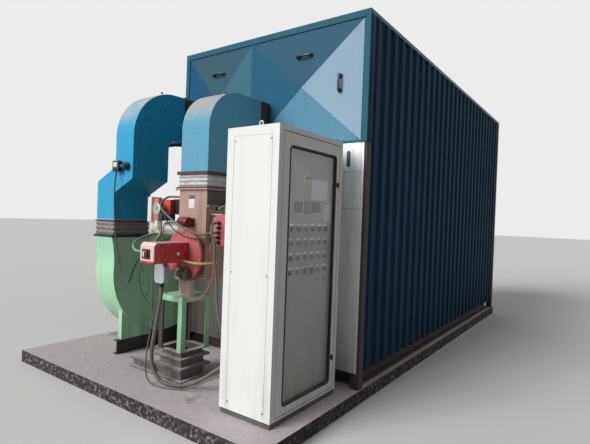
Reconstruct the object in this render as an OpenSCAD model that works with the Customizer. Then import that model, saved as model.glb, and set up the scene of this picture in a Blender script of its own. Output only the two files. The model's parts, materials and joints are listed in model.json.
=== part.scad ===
// Industrial boiler plant: a clad casing with cross-broken front panels, two blue air ducts,
// a scroll fan, a burner on a stand and a control cabinet, on one concrete plinth.
// Sizes in millimetres. Site zero is the casing's front right corner on the plinth's top,
// x to the right, y to the back, z up.

/* [Plinth] */
// height of the concrete plinth
plinth_h = 110; // [60:5:200]
// plinth in front of the casing
plinth_front = 1250; // [1100:10:1600]
// plinth left of the casing's right side, under the fan
plinth_w = 3020; // [2900:10:3400]

/* [Casing] */
// casing width across the front
casing_w = 2200; // [2000:10:2600]
// casing length front to back
casing_l = 4830; // [3600:10:6000]
// casing height over the plinth
casing_h = 3100; // [2800:10:3400]
// height of the lower edge of the side sheets
sheet_z = 130; // [80:5:240]
// ribs along one side
rib_count = 27; // [16:1:32]
// depth of the sheet's ribs
rib_d = 30; // [20:1:40]
// height where the upper front panels end
upper_z = 2025; // [1800:5:2300]
// seam between the two upper panels, from the casing's right side
seam_x = 1255; // [1000:5:1500]
// how far a cross-broken panel stands out at its peak
panel_peak = 26; // [8:1:40]

/* [Ducts] */
// depth of both ducts front to back
duct_d = 400; // [300:10:500]
// radius of the outer bend
bend_r = 370; // [250:5:400]
// width of the hot air duct
hot_w = 324; // [260:2:400]
// right side of the hot air duct, from the casing's right side
hot_x = 1011; // [900:1:1200]
// front of the hot air duct, from the casing's front
hot_y = 776; // [700:2:900]
// top of the hot air duct
hot_top = 2440; // [2300:5:2600]
// width of the upper part of the cold air duct
cold_w = 275; // [220:1:340]
// right side of the cold air duct's upper part
cold_x = 1972; // [1900:1:2100]
// front of the cold air duct
cold_y = 800; // [700:2:900]
// top of the cold air duct
cold_top = 2555; // [2400:5:2700]
// sideways step of the cold air duct
cold_step = 293; // [100:1:320]
// width of the cold air duct's lower part
cold_w2 = 302; // [240:1:380]

/* [Fan] */
// right side plate of the fan
fan_x = 2220; // [2212:1:2300]
// width of the fan housing
fan_w = 290; // [240:5:360]
// how far the pedestal's legs stand in from the fan's sides
leg_inset = 12; // [0:2:40]
// shaft height over the plinth
fan_z = 737; // [650:1:800]
// shaft distance in front of the casing's front
fan_y = 139; // [80:1:240]
// radius of the scroll under the shaft
scroll_r = 595; // [540:5:640]
// radius of the bolted side cover
cover_r = 370; // [280:5:400]

/* [Burner] */
// burner axis height over the plinth
burner_z = 1055; // [950:5:1150]
// radius of the burner's front disc
disc_r = 205; // [150:5:240]
// distance of the burner's front plate from the windbox
disc_y = 84; // [60:2:140]
// thickness of the burner disc's rim
disc_t = 26; // [12:2:40]
// length of the control box
box_l = 330; // [250:5:450]
// height of the stand's top
stand_z = 706; // [600:2:750]
// width of the stand
stand_w = 286; // [260:2:360]
// depth of the stand
stand_d = 310; // [260:5:380]
// height of the lowest channel under the stand
beam_h = 105; // [80:1:120]

/* [Cabinet] */
// cabinet height over the plinth
cab_h = 2000; // [1700:10:2200]
// cabinet width along the door
cab_w = 826; // [700:2:1000]
// cabinet depth, door included
cab_d = 459; // [350:1:600]
// distance of the door's face from the casing's right side
cab_x = 124; // [60:1:300]
// distance between cabinet and casing front
cab_gap = 172; // [100:2:300]
// door thickness
door_t = 22; // [18:1:30]
// door opening angle
door_angle = 0; // [0:1:105]

/* [Cables] */
// outer diameter of the power cable
power_dia = 32; // [20:1:45]
// outer diameter of the thin cables
thin_dia = 12; // [8:1:20]

/* [Hidden] */
$fn = 48;
eps = 0.3;
cas_l = -casing_w;
x_min = -plinth_w;
x_max = 10;
y_min = -plinth_front;
y_max = casing_l + 50;
site_x = -(x_min + x_max) / 2;
site_y = -(y_min + y_max) / 2;
post = 75;
trim_t = 16;
plate_t = 10;
roof_t = 32;
core_top = casing_h - roof_t;
hot_l = -hot_x - hot_w;
hot_axis = -hot_x - hot_w / 2;
hot_foot = 1738;
wind_z0 = 870;
wind_top = 1590;
cold_r = -cold_x;
cold_l = -cold_x - cold_w;
low_l = cold_l - cold_step;
low_r = low_l + cold_w2;
cold_foot = 1310;
flex_foot = 1152;
leg_h = 455;
end_l = cas_l + 78;
cab_y1 = -cab_gap;
cab_y0 = -cab_gap - cab_w;
cab_x1 = -cab_x;
cab_x0 = -cab_x - cab_d;
door_gap = 5;
leaf_y0 = cab_y0 + 53;
leaf_y1 = cab_y1 - 43;
leaf_z0 = 62;
leaf_z1 = cab_h - 40;
win_y0 = -866;
win_y1 = -272;
win_z0 = 122;
win_z1 = leaf_z1 - 92;
plate_x = -172;
hinge_y = leaf_y0 + door_t / 2;
hinge_x = cab_x1 - door_t / 2;
front_y = -hot_y - disc_y;
stack_z = beam_h + 145;

// routes of the cables, in site millimetres
power_pts = [[-1286, -973, 794.7], [-1287, -974, 750], [-1296, -978, 660], [-1312, -982, 560], [-1338, -985, 430],
    [-1364, -984, 310], [-1377, -978, 218], [-1374, -968, 148], [-1352, -957, 84], [-1309, -947, 38], [-1242, -936, 17.5],
    [-1165, -916, 18], [-1090, -886, 25], [-1005, -850, 56], [-915, -822, 112], [-820, -798, 185], [-735, -784, 236],
    [-665, -780, 258], [-612.3, -780, 260]];
switch_pts = [[-2159, -845, 1761.7], [-2159, -847, 1730], [-2149, -862, 1650], [-2110, -888, 1480], [-2045, -920, 1309],
    [-1960, -950, 1097], [-1865, -983, 964], [-1725, -1033, 862], [-1625, -1070, 822], [-1545, -1100, 815],
    [-1480, -1125, 862], [-1420, -1143, 940], [-1362, -1152, 1006], [-1320, -1155, 1034], [-1272.3, -1155, 1040]];
junction_pts = [[-858, -802.3, 1327], [-858, -812, 1327], [-854, -842, 1324], [-845, -870, 1308], [-832, -887, 1280], [-820, -891, 1240], [-808, -879, 1190], [-806, -874, 1111], [-807, -865, 1024], [-803, -854, 936], [-802, -842, 848],
    [-804, -834, 748], [-794, -826, 640], [-772, -815, 540], [-738, -802, 455], [-700, -790, 400], [-655, -782, 368],
    [-606.3, -780, 360]];
valve_pts = [[hot_l - 0.3, -746, 1530], [hot_l - 20, -747, 1530], [-1432, -752, 1531], [-1474, -763, 1531], [-1504, -776, 1522],
    [-1525, -793, 1502], [-1532, -810, 1475], [-1523, -824, 1448], [-1496, -838, 1426], [-1448, -853, 1405], [-1375, -871, 1373],
    [-1296, -886, 1338], [-1218, -894, 1308], [-1142, -896, 1277], [-1066, -894, 1257], [-992, -891, 1240], [-935, -888, 1237],
    [-902, -881, 1240], [-878, -866, 1244], [-863, -843, 1249], [-858, -820, 1251], [-858, -802.3, 1251]];
sensor_pts = [[-1150, -896, 867.7], [-1150, -897, 845], [-1142, -896, 800], [-1113, -892, 757], [-1055, -888, 728],
    [-980, -886, 728], [-922, -882, 753], [-888, -872, 793], [-868, -858, 838], [-858, -842, 890], [-851, -838, 935],
    [-844, -843, 980], [-841, -853, 1030], [-842, -866, 1080], [-845, -876, 1112], [-849, -876, 1142], [-854, -862, 1164],
    [-857, -838, 1174], [-858, -818, 1175], [-858, -802.3, 1175]];
gas_pts = [[-1111.7, -907, 1016], [-1088, -907, 1016], [-1035, -903, 1010], [-985, -886, 1006], [-945, -848, 1005],
    [-924, -798, 1006], [-917, -742, 1007], [-916, -690, 1008], [-916, -645, 1009], [-917, -604, 1010],
    [-928, -563, 1010], [-958, -533, 1010], [-998.7, -522, 1010]];
igniter_pts = [[-1655.7, -700, 1461], [-1644, -700, 1461], [-1613, -712, 1452], [-1578, -744, 1428], [-1530, -792, 1397],
    [-1488, -816, 1376], [-1425, -845, 1340], [-1360, -860, 1302], [-1290, -872, 1262], [-1205, -881, 1229],
    [-1105, -885, 1205], [-1000, -885, 1198], [-940, -882, 1201], [-900, -874, 1207], [-872, -854, 1211], [-859, -826, 1213],
    [-858, -802.3, 1213]];
conduit_pts = [[-1630, -764.3, 1204], [-1629, -780, 1203], [-1616, -830, 1198], [-1606, -870, 1192], [-1599, -915, 1184],
    [-1588, -965, 1172], [-1562, -1030, 1151], [-1508, -1090, 1123], [-1433, -1135, 1101], [-1368, -1157, 1091],
    [-1310, -1166, 1088], [-1272.3, -1167, 1087]];
pipe_pts = [[-1570, -781, 1339.7], [-1570, -781, 1318], [-1568, -782, 1280], [-1563, -785, 1248], [-1551, -796, 1217],
    [-1534, -817, 1193], [-1514, -850, 1172], [-1488, -892, 1152], [-1448, -934, 1133], [-1392, -964, 1118],
    [-1330, -975, 1111], [-1272.3, -976, 1110]];
floor_pts = [[-1318, -965, 829.7], [-1319, -966, 800], [-1336, -970, 700], [-1362, -974, 590], [-1384, -980, 488],
    [-1400, -984, 400], [-1420, -990, 283], [-1426, -996, 192], [-1416, -1003, 112], [-1386, -1006, 46],
    [-1332, -1003, 12], [-1260, -994, 7], [-1176, -974, 7.5], [-1095, -936, 10], [-1005, -900, 28], [-905, -872, 82],
    [-805, -852, 140], [-715, -843, 178], [-655, -840, 190], [-606.3, -840, 190]];

// moves a piece from site coordinates to the part's frame
module site() {
    translate([site_x, site_y, plinth_h]) children();
}

// a block given by its two corners
module block(a, b) {
    translate(a) cube([b[0] - a[0], b[1] - a[1], b[2] - a[2]]);
}

// a plate drawn as y,z points, from x0 to x1
module side_profile(x0, x1, pts) {
    translate([x0, 0, 0]) rotate([90, 0, 90]) linear_extrude(x1 - x0) polygon(pts);
}

// a plate drawn as x,z points, from y0 to y1
module front_profile(y0, y1, pts) {
    translate([0, y1, 0]) rotate([90, 0, 0]) linear_extrude(y1 - y0) polygon(pts);
}

// closed frame of channels with their open sides outwards: w by l by h, flange f, web t, flange thickness e
module channel_frame(w, l, h, f, t, e) {
    difference() {
        cube([w, l, h]);
        translate([f, f, -1]) cube([w - 2 * f, l - 2 * f, h + 2]);
        difference() {
            translate([-1, -1, e]) cube([w + 2, l + 2, h - 2 * e]);
            translate([f - t, f - t, 0]) cube([w - 2 * f + 2 * t, l - 2 * f + 2 * t, h]);
        }
    }
}

// smooth route through the points, k samples for each span
function knot(p, i) = p[max(0, min(len(p) - 1, i))];
function spline(p, i, t) = 0.5 * ((2 * knot(p, i)) + (knot(p, i + 1) - knot(p, i - 1)) * t
    + (2 * knot(p, i - 1) - 5 * knot(p, i) + 4 * knot(p, i + 1) - knot(p, i + 2)) * t * t
    + (3 * knot(p, i) - knot(p, i - 1) - 3 * knot(p, i + 1) + knot(p, i + 2)) * t * t * t);
function route(p, k) = concat([for (i = [0:len(p) - 2]) for (j = [0:k - 1]) spline(p, i, j / k)], [p[len(p) - 1]]);
function unit(v) = v / norm(v);
function heading(r, i) = unit(knot(r, i + 1) - knot(r, i - 1));

// round tube swept along a route, with rings square to it and its two ends facing out and in
module tube(p, d, k, up, out, in) {
    r = route(p, k);
    s = 8;
    n = len(r);
    pts = [for (i = [0:n - 1]) let (t = i == 0 ? out : i == n - 1 ? in : heading(r, i), u = unit(cross(t, up)), v = cross(t, u))
        for (j = [0:s - 1]) r[i] + d / 2 * (u * cos(360 * j / s) + v * sin(360 * j / s))];
    walls = [for (i = [0:n - 2]) for (j = [0:s - 1])
        [i * s + j, i * s + (j + 1) % s, (i + 1) * s + (j + 1) % s, (i + 1) * s + j]];
    polyhedron(points = pts, faces = concat(walls, [[for (j = [s - 1:-1:0]) j]], [[for (j = [0:s - 1]) (n - 1) * s + j]]));
}

module plinth() {
    color([0.44, 0.41, 0.38]) site() translate([0, 0, -plinth_h]) linear_extrude(plinth_h)
        polygon([[x_min, y_min], [x_max, y_min], [x_max, y_max], [cas_l - 20, y_max],
            [cas_l - 20, 650], [x_min, 650]]);
}

// channel-edged skid under the casing
module base_frame() {
    color([0.16, 0.15, 0.16]) site() translate([cas_l + 40, post + 5, 0])
        channel_frame(casing_w - 80, casing_l - 2 * post - 10, sheet_z, 60, 9, 11);
}

module corner_posts() {
    color([0.30, 0.29, 0.31]) site() for (x = [cas_l, -post]) for (y = [0, casing_l - post])
        block([x, y, 0], [x + post, y + post, core_top]);
}

module casing_body() {
    color([0.30, 0.33, 0.36]) site() difference() {
        block([cas_l + rib_d, 0, sheet_z], [-rib_d, casing_l - rib_d, core_top]);
        for (x = [cas_l, -post]) for (y = [0, casing_l - post])
            block([x - 1, y - 1, 0], [x + post + 1, y + post + 1, casing_h]);
    }
}

// profiled sheet: n trapezoid ribs over the length, standing out to +y
module ribbed_wall(len, n, h) {
    p = len / n;
    linear_extrude(h) polygon(concat([[0, 0], [0, 5]], [for (i = [0:n - 1])
        for (q = [[-0.30, 5], [-0.17, rib_d], [0.17, rib_d], [0.30, 5]]) [(i + 0.5 + q[0]) * p, q[1]]],
        [[len, 5], [len, 0]]));
}

module side_sheet_right() {
    color([0.10, 0.17, 0.27]) site() translate([-rib_d, post, sheet_z]) rotate([0, 0, 90]) mirror([0, 1, 0])
        ribbed_wall(casing_l - 2 * post, rib_count, core_top - sheet_z);
}

module side_sheet_left() {
    color([0.10, 0.17, 0.27]) site() translate([cas_l + rib_d, post, sheet_z]) rotate([0, 0, 90])
        ribbed_wall(casing_l - 2 * post, rib_count, core_top - sheet_z);
}

module rear_sheet() {
    color([0.10, 0.17, 0.27]) site() translate([cas_l + post, casing_l - rib_d, sheet_z])
        ribbed_wall(casing_w - 2 * post, 12, core_top - sheet_z);
}

// shallow folded tray with a drip edge
module roof() {
    color([0.13, 0.28, 0.38]) site() {
        block([cas_l, 0, core_top], [0, casing_l, casing_h - 8]);
        difference() {
            block([cas_l, 0, casing_h - 8], [0, casing_l, casing_h]);
            block([cas_l + 40, 40, casing_h - 9], [-40, casing_l - 40, casing_h + 1]);
        }
    }
}

// the openings that the two duct collars pass through
module collar_holes() {
    block([hot_l - eps, -100, hot_top - leg_h - eps], [-hot_x + eps, 1, hot_top + eps]);
    block([end_l - eps, -100, cold_top - leg_h - eps], [cold_r + 80 + eps, 1, cold_top + eps]);
}

// blue angle round the upper front, the strip between the two panels and the sill under them
module front_frame() {
    color([0.25, 0.48, 0.60]) site() difference() {
        union() {
            block([cas_l, -trim_t, casing_h - 56], [0, 0, casing_h]);
            block([cas_l, -trim_t, upper_z], [cas_l + 50, 0, casing_h - 55]);
            block([-50, -trim_t, upper_z], [0, 0, casing_h - 55]);
            block([-seam_x - 14, -plate_t, upper_z + 18], [-seam_x + 14, 0, casing_h - 55]);
            block([cas_l + 49, -trim_t, upper_z], [-49, 0, upper_z + 18]);
        }
        collar_holes();
    }
}

// plate whose front is creased to a low four-sided peak
module creased_panel(x0, x1, z0, z1) {
    xm = (x0 + x1) / 2;
    zm = (z0 + z1) / 2;
    p = -plate_t - panel_peak;
    difference() {
        intersection() {
            side_profile(x0, x1, [[0, z0], [-plate_t, z0], [p, zm], [-plate_t, z1], [0, z1]]);
            translate([0, 0, z0]) linear_extrude(z1 - z0)
                polygon([[x0, 0], [x0, -plate_t], [xm, p], [x1, -plate_t], [x1, 0]]);
        }
        collar_holes();
    }
}

module front_panel_left() {
    color([0.22, 0.45, 0.58]) site()
        creased_panel(cas_l + 58, -seam_x - 15, upper_z + 19, casing_h - 64);
}

module front_panel_right() {
    color([0.24, 0.46, 0.58]) site()
        creased_panel(-seam_x + 15, -58, upper_z + 19, casing_h - 64);
}

// bridge handle
module bridge(l) {
    difference() {
        block([-l / 2, -34, -9], [l / 2, 0, 9]);
        block([-l / 2 + 22, -20, -10], [l / 2 - 22, 1, 10]);
    }
}

// handles sit square on the creased faces
module panel_handles() {
    zt = casing_h - 64;
    zm = (upper_z + 19 + zt) / 2;
    xr = (-seam_x + 15 - 58) / 2;
    rise = atan(panel_peak / (zt - zm));
    turn = atan(panel_peak / (-58 - xr));
    color([0.07, 0.08, 0.09]) site() {
        for (h = [[-1727, 150, casing_h - 263], [-651, 160, casing_h - 273]])
            translate([h[0], -plate_t - eps - panel_peak * (zt - h[2]) / (zt - zm), h[2]]) rotate([-rise, 0, 0]) bridge(h[1]);
        translate([-258, -plate_t - eps - panel_peak * (258 - 58) / (-58 - xr), zm]) rotate([0, 0, turn])
            rotate([0, 90, 0]) bridge(160);
    }
}

module lower_front_panels() {
    color([0.74, 0.76, 0.77]) site() {
        block([-640, -8, upper_z - 239], [-45, 0, upper_z - eps]);
        block([-640, -5, 1482], [-45, 0, upper_z - 241]);
        block([-640, -7, 502], [-45, 0, 1480]);
        block([-640, -4, sheet_z + 2], [-45, 0, 500]);
        translate([-190, -8 - eps, upper_z - 130]) rotate([0, 90, 0]) bridge(120);
    }
}

module lower_front_wall() {
    color([0.50, 0.47, 0.45]) site() difference() {
        union() {
            block([cas_l + 45, -6, sheet_z + 2], [-641, 0, upper_z - eps]);
            block([cas_l + 45, -14, 168], [-641, -6, 184]);
        }
        translate([hot_axis, -20, burner_z]) rotate([-90, 0, 0]) cylinder(r = 160 + eps, h = 60);
        block([hot_l - eps, -100, hot_top - leg_h - eps], [-hot_x + eps, 1, hot_top]);
    }
}

// outline of a duct seen from the side: foot, throat, leg to the casing and outer bend
function elbow(y0, foot, top, y_end) = concat(
    [[y0, foot], [y0 + duct_d, foot], [y0 + duct_d, top - leg_h - 60]],
    [for (a = [15:15:75]) [y0 + duct_d + 60 - 60 * cos(a), top - leg_h - 60 + 60 * sin(a)]],
    [[y0 + duct_d + 60, top - leg_h], [y_end, top - leg_h], [y_end, top]],
    [for (a = [90:6:180]) [y0 + bend_r + bend_r * cos(a), top - bend_r + bend_r * sin(a)]]);

module cold_air_duct() {
    color([0.16, 0.50, 0.70]) site() {
        side_profile(cold_l, cold_r, elbow(-cold_y, 1812, cold_top, -214));
        front_profile(-cold_y, -cold_y + duct_d, [[cold_l, 1813], [low_l, 1679], [low_l, cold_foot],
            [low_r, cold_foot], [low_r, 1570], [cold_r, 1697], [cold_r, 1813]]);
        block([low_l - 14, -cold_y - 16, cold_foot - 10], [low_r + 16, -cold_y + duct_d + 16, cold_foot]);
        block([cold_l - 12, -214, cold_top - leg_h - 14], [cold_r + 14, -204, cold_top + 12]);
        translate([cold_r - 30, -cold_y + bend_r, cold_top - 1]) cylinder(r = 12, h = 20);
    }
}

module cold_air_collar() {
    color([0.42, 0.28, 0.24]) site() {
        block([cold_l - 12, -204, cold_top - leg_h - 14], [cold_r + 14, -194, cold_top + 12]);
        translate([0, 0, cold_top - leg_h]) linear_extrude(leg_h)
            polygon([[cold_l, -195], [cold_r, -195], [cold_r + 80, -50], [cold_r + 80, 0], [end_l, 0], [end_l, -50]]);
    }
}

// pleated sleeve between two clamp bars
module pleated(x0, x1, y0, y1, z0, z1, d) {
    n = 3;
    h = (z1 - z0) / n;
    block([x0 + d, y0 + d, z0], [x1 - d, y1 - d, z1]);
    for (i = [0:n - 1]) block([x0, y0, z0 + (i + 0.2) * h], [x1, y1, z0 + (i + 0.8) * h]);
}

module cold_air_joint() {
    color([0.40, 0.38, 0.38]) site() {
        pleated(low_l - 8, low_r + 4, -cold_y - 10, -cold_y + duct_d + 4, flex_foot + 10, cold_foot - 20, 6);
        block([low_l - 14, -cold_y - 16, cold_foot - 20], [low_r + 14, -cold_y + duct_d + 14, cold_foot - 10]);
        block([low_l - 14, -cold_y - 16, flex_foot], [low_r + 8, -cold_y + duct_d + 14, flex_foot + 10]);
    }
}

// radius of the scroll, a degrees down from the front: it opens towards the outlet and closes round the back
function spiral(a) = scroll_r + max(0, 70 - a) + 0.25 * pow(max(0, -10 - a), 2) - 0.776 * max(0, a - 70);
function scroll_pts(g) = concat([[-cold_y - 32 - g, flex_foot - 12], [-cold_y + duct_d - 10, flex_foot - 12],
    [-cold_y + duct_d - 10, flex_foot - 77]],
    [for (a = [300:-8:-28]) [-fan_y - (spiral(a) + g) * cos(a), fan_z - (spiral(a) + g) * sin(a)]]);

module fan_scroll() {
    x1 = -fan_x;
    x0 = -fan_x - fan_w;
    color([0.42, 0.62, 0.47]) site() {
        side_profile(x0, x1, scroll_pts(0));
        block([x0 - 26, -cold_y - 48, flex_foot - 13], [x1 + 8, -cold_y + duct_d + 14, flex_foot]);
    }
}

module fan_cover() {
    color([0.38, 0.58, 0.43]) site() translate([-fan_x, -fan_y, fan_z]) rotate([0, 90, 0]) {
        cylinder(r = cover_r, h = 6, $fn = 72);
        cylinder(r = cover_r - 60, h = 10, $fn = 72);
    }
}

// legs shaped to the scroll on two floor channels
module fan_pedestal() {
    x1 = -fan_x - leg_inset;
    x0 = -fan_x - fan_w + leg_inset;
    rail = [[0, 0], [0, 136], [-60, 136], [-60, 125], [-9, 125], [-9, 11], [-60, 11], [-60, 0]];
    color([0.36, 0.53, 0.40]) site() {
        difference() {
            union() {
                block([x1 - 58, -690, 135], [x1, -372, 470]);
                block([x1 - 58, 60, 135], [x1, 300, 470]);
                block([x0, -300, 135], [x0 + 58, 300, 470]);
            }
            side_profile(x0 - 20, x1 + 20, scroll_pts(eps));
        }
        front_profile(-736, 340, [for (q = rail) [x1 + q[0], q[1]]]);
        front_profile(-312, 340, [for (q = rail) [x0 - q[0], q[1]]]);
        for (y = [-240, 340]) side_profile(x0 + 8, x1 - 8, [for (q = rail) [y + q[0], q[1]]]);
    }
}

module fan_motor() {
    x1 = -fan_x - fan_w;
    color([0.36, 0.36, 0.38]) site() {
        translate([x1 - 340, -fan_y, fan_z]) rotate([0, 90, 0]) cylinder(r = 150, h = 340);
        translate([x1 - 420, -fan_y, fan_z]) rotate([0, 90, 0]) cylinder(r = 160, h = 90);
        block([x1 - 330, -fan_y - 130, 0], [x1 - 60, -fan_y + 130, fan_z - 60]);
    }
}

module pressure_switch() {
    color([0.10, 0.14, 0.24]) site() {
        block([-2208, -cold_y - 60, 1762], [-2110, -cold_y - 24, 1862]);
        block([-2190, -cold_y - 25, 1815], [-2128, -cold_y, 1855]);
        block([-2111, -cold_y - 46, 1800], [-2060, -cold_y - 30, 1824]);
        translate([-2048, -cold_y, 1812]) rotate([90, 0, 0]) cylinder(r = 36, h = 52);
    }
}

module hot_air_duct() {
    x1 = -hot_x;
    x0 = hot_l;
    color([0.20, 0.46, 0.58]) site() {
        side_profile(x0, x1, elbow(-hot_y, hot_foot, hot_top, -147));
        block([x0 - 22, -hot_y - 22, hot_foot - 12], [x1 + 22, -hot_y + duct_d + 22, hot_foot]);
        block([x0 - 12, -147, hot_top - leg_h - 12], [x1 + 12, -135, hot_top + 10]);
        translate([x1 - 30, -hot_y + bend_r, hot_top - 1]) cylinder(r = 12, h = 20);
    }
}

module hot_air_collar() {
    x1 = -hot_x;
    x0 = hot_l;
    color([0.24, 0.30, 0.36]) site() {
        block([x0 - 12, -135, hot_top - leg_h - 12], [x1 + 12, -122, hot_top + 10]);
        block([x0, -123, hot_top - leg_h], [x1, 0, hot_top]);
    }
}

module hot_air_joint() {
    x1 = -hot_x;
    x0 = hot_l;
    color([0.72, 0.73, 0.72]) site() {
        pleated(x0 - 14, x1 + 14, -hot_y - 14, -hot_y + duct_d + 14, wind_top + 24, hot_foot - 24, 8);
        block([x0 - 22, -hot_y - 22, hot_foot - 24], [x1 + 22, -hot_y + duct_d + 22, hot_foot - 12]);
        block([x0 - 22, -hot_y - 22, wind_top + 12], [x1 + 22, -hot_y + duct_d + 22, wind_top + 24]);
    }
}

module windbox() {
    x1 = -hot_x;
    x0 = hot_l;
    color([0.62, 0.45, 0.37]) site() {
        block([x0 - 34, -hot_y - 22, wind_top], [x1 + 22, -hot_y + duct_d + 22, wind_top + 12]);
        block([x0, -hot_y, wind_z0], [x1, -hot_y + duct_d, wind_top + 1]);
        translate([x1, -522, 1010]) rotate([0, 90, 0]) cylinder(r = 16, h = 12);
    }
}

module burner_throat() {
    color([0.30, 0.28, 0.28]) site() translate([hot_axis, 0, burner_z]) rotate([90, 0, 0]) {
        cylinder(r = 160, h = hot_y - duct_d, $fn = 64);
        translate([0, 0, 6]) cylinder(r = 230, h = 20, $fn = 64);
    }
}

module burner_disc() {
    color([0.68, 0.32, 0.34]) site() translate([hot_axis, -hot_y, burner_z]) rotate([90, 0, 0]) rotate_extrude($fn = 72)
        polygon([[0, 0], [disc_r - 62, 0], [disc_r - 62, disc_y - disc_t], [disc_r, disc_y - disc_t],
            [disc_r, disc_y - 5], [disc_r - 5, disc_y], [0, disc_y]]);
}

module control_box() {
    c = 24;
    top = 1164;
    y0 = front_y - box_l;
    color([0.58, 0.14, 0.16]) site() {
        side_profile(-1272, -1112, [[y0, 1006], [front_y, 1006], [front_y, top], [y0 + c, top], [y0, top - c]]);
        block([-1244, y0 - 6, 1040], [-1151, y0, 1116]);
        translate([-1197, y0 - 5, 1078]) rotate([90, 0, 0]) cylinder(r = 30, h = 13);
        translate([-1112, front_y - 108, 1076]) rotate([0, 90, 0]) cylinder(r = 12, h = 16);
    }
}

module burner_drums() {
    color([0.62, 0.50, 0.50]) site() {
        translate([hot_l, -700, 1250]) rotate([0, -90, 0]) cylinder(r = 64, h = 255);
        translate([-1188, -hot_y - 52, 1323]) rotate([0, -90, 0]) cylinder(r = 42, h = 76);
        translate([-1188, -hot_y - 52, 1323]) rotate([0, 90, 0]) cylinder(r = 50, h = 48);
        block([-1184, -hot_y - 10, 1290], [-1144, -hot_y, 1356]);
    }
}

module valve_boxes() {
    color([0.62, 0.20, 0.18]) site() {
        block([-1736, -740, 1320], [-1656, -600, 1512]);
        block([-1657, -660, 1388], [-1550, -560, 1512]);
        block([-1551, -660, 1390], [-1474, -580, 1516]);
        block([-1790, -760, 1306], [-1735, -640, 1530]);
        translate([hot_l, -620, 1450]) rotate([0, -90, 0]) cylinder(r = 28, h = 140);
        for (x = [-1752, -1698]) translate([x, -712, 1222]) cylinder(r = 28, h = 100);
        translate([-1745, -730, 1232]) rotate([0, 90, 0]) cylinder(r = 24, h = 90);
        block([-1670, -764, 1190], [-1612, -706, 1238]);
        block([-1592, -800, 1340], [-1550, -655, 1396]);
        translate([-1620, -660, 1421]) rotate([90, 0, 0]) cylinder(r = 14, h = 105);
        translate([-1620, -764, 1421]) rotate([90, 0, 0]) cylinder(r = 52, h = 34);
    }
}

module junction_box() {
    color([0.66, 0.26, 0.25]) site() {
        block([-905, -780, 1148], [-785, -690, 1392]);
        block([-hot_x, -720, 1170], [-904, -700, 1370]);
        for (z = [1175:38:1327]) translate([-858, -780, z]) rotate([90, 0, 0]) cylinder(r = 14, h = 22);
    }
}

module terminal_box() {
    color([0.52, 0.55, 0.58]) site() {
        front_profile(-1000, -946, [[-1348, 962], [-1334, 976], [-1243, 976], [-1229, 962], [-1229, 852], [-1250, 830],
            [-1327, 830], [-1348, 852]]);
        block([-1330, -947, 880], [-1260, front_y, 940]);
        translate([-1286, -973, 795]) cylinder(r = 22, h = 36);
    }
}

module burner_stand() {
    x1 = -1185;
    x0 = x1 - stand_w;
    y0 = -844;
    y1 = y0 + stand_d;
    color([0.45, 0.66, 0.50]) site() {
        for (x = [x0, x1 - 50]) for (y = [y0, y1 - 50]) difference() {
            block([x, y, stack_z], [x + 50, y + 50, stand_z - 45]);
            block([x == x0 ? x + 7 : x - 1, y == y0 ? y + 7 : y - 1, stack_z - 1],
                [x == x0 ? x + 51 : x + 43, y == y0 ? y + 51 : y + 43, stand_z]);
        }
        difference() {
            block([x0, y0, stand_z - 46], [x1, y1, stand_z]);
            block([x0 + 7, y0 + 7, stand_z - 60], [x1 - 7, y1 - 7, stand_z - 7]);
        }
    }
}

// post, valve and feeler that sit on the stand under the windbox
module burner_feed() {
    color([0.72, 0.72, 0.68]) site() {
        translate([-1245, -745, stand_z]) cylinder(r = 66, h = 136);
        block([-1290, -740, stand_z + 130], [-1200, -690, wind_z0]);
        block([-1189, front_y - 39, 866], [-1168, front_y, 956]);
        translate([-1169, front_y - 36, 910]) rotate([0, 90, 0]) cylinder(r = 24, h = 106);
        translate([-1170, front_y - 36, 910]) rotate([0, 90, 0]) cylinder(r = 34, h = 40);
        translate([-1150, front_y - 36, 868]) cylinder(r = 12, h = 44);
        block([-1112, front_y - 16, 892], [-1084, front_y, 928]);
    }
}

module beam_stack() {
    color([0.20, 0.17, 0.18]) site() {
        translate([-1552, -842, 0]) channel_frame(370, 330, beam_h, 48, 8, 10);
        translate([-1526, -838, beam_h]) channel_frame(340, 322, 80, 44, 7, 9);
        translate([-1514, -844, beam_h + 80]) channel_frame(329, 326, 65, 52, 7, 8);
        difference() {
            block([-1862, -842, 0], [-1552, -794, 88]);
            block([-1863, -850, 10], [-1551, -802, 78]);
        }
    }
}

// steel box with a shallow recess behind the door
module cabinet_shell() {
    back = cab_x1 - door_t - door_gap;
    color([0.86, 0.86, 0.82]) site() {
        difference() {
            block([cab_x0, cab_y0, 40], [cab_x1, cab_y1, cab_h]);
            block([back, leaf_y0 - door_gap, leaf_z0 - door_gap], [cab_x1 + 1, leaf_y1 + door_gap, leaf_z1 + door_gap]);
            block([plate_x - 4, leaf_y0 + 30, leaf_z0 + 30], [cab_x1, leaf_y1 - 25, leaf_z1 - 30]);
            difference() {
                block([cab_x0 + 62, cab_y0 - 1, 60], [cab_x1 - 54, cab_y0 + 3, cab_h - 62]);
                block([cab_x0 + 66, cab_y0 - 2, 64], [cab_x1 - 58, cab_y0 + 4, cab_h - 66]);
            }
        }
        for (z = [leaf_z0 - door_gap, leaf_z1 + eps]) translate([hinge_x, hinge_y, z]) cylinder(r = 8, h = door_gap - eps);
        for (z = [leaf_z0 - door_gap - 1, leaf_z1 - 24]) translate([hinge_x, hinge_y, z]) cylinder(r = 4, h = 30);
    }
}

module cabinet_base() {
    color([0.45, 0.48, 0.45]) site() block([cab_x0 + 8, cab_y0 + 8, 0], [cab_x1 - 6, cab_y1 - 8, 40]);
}

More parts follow.
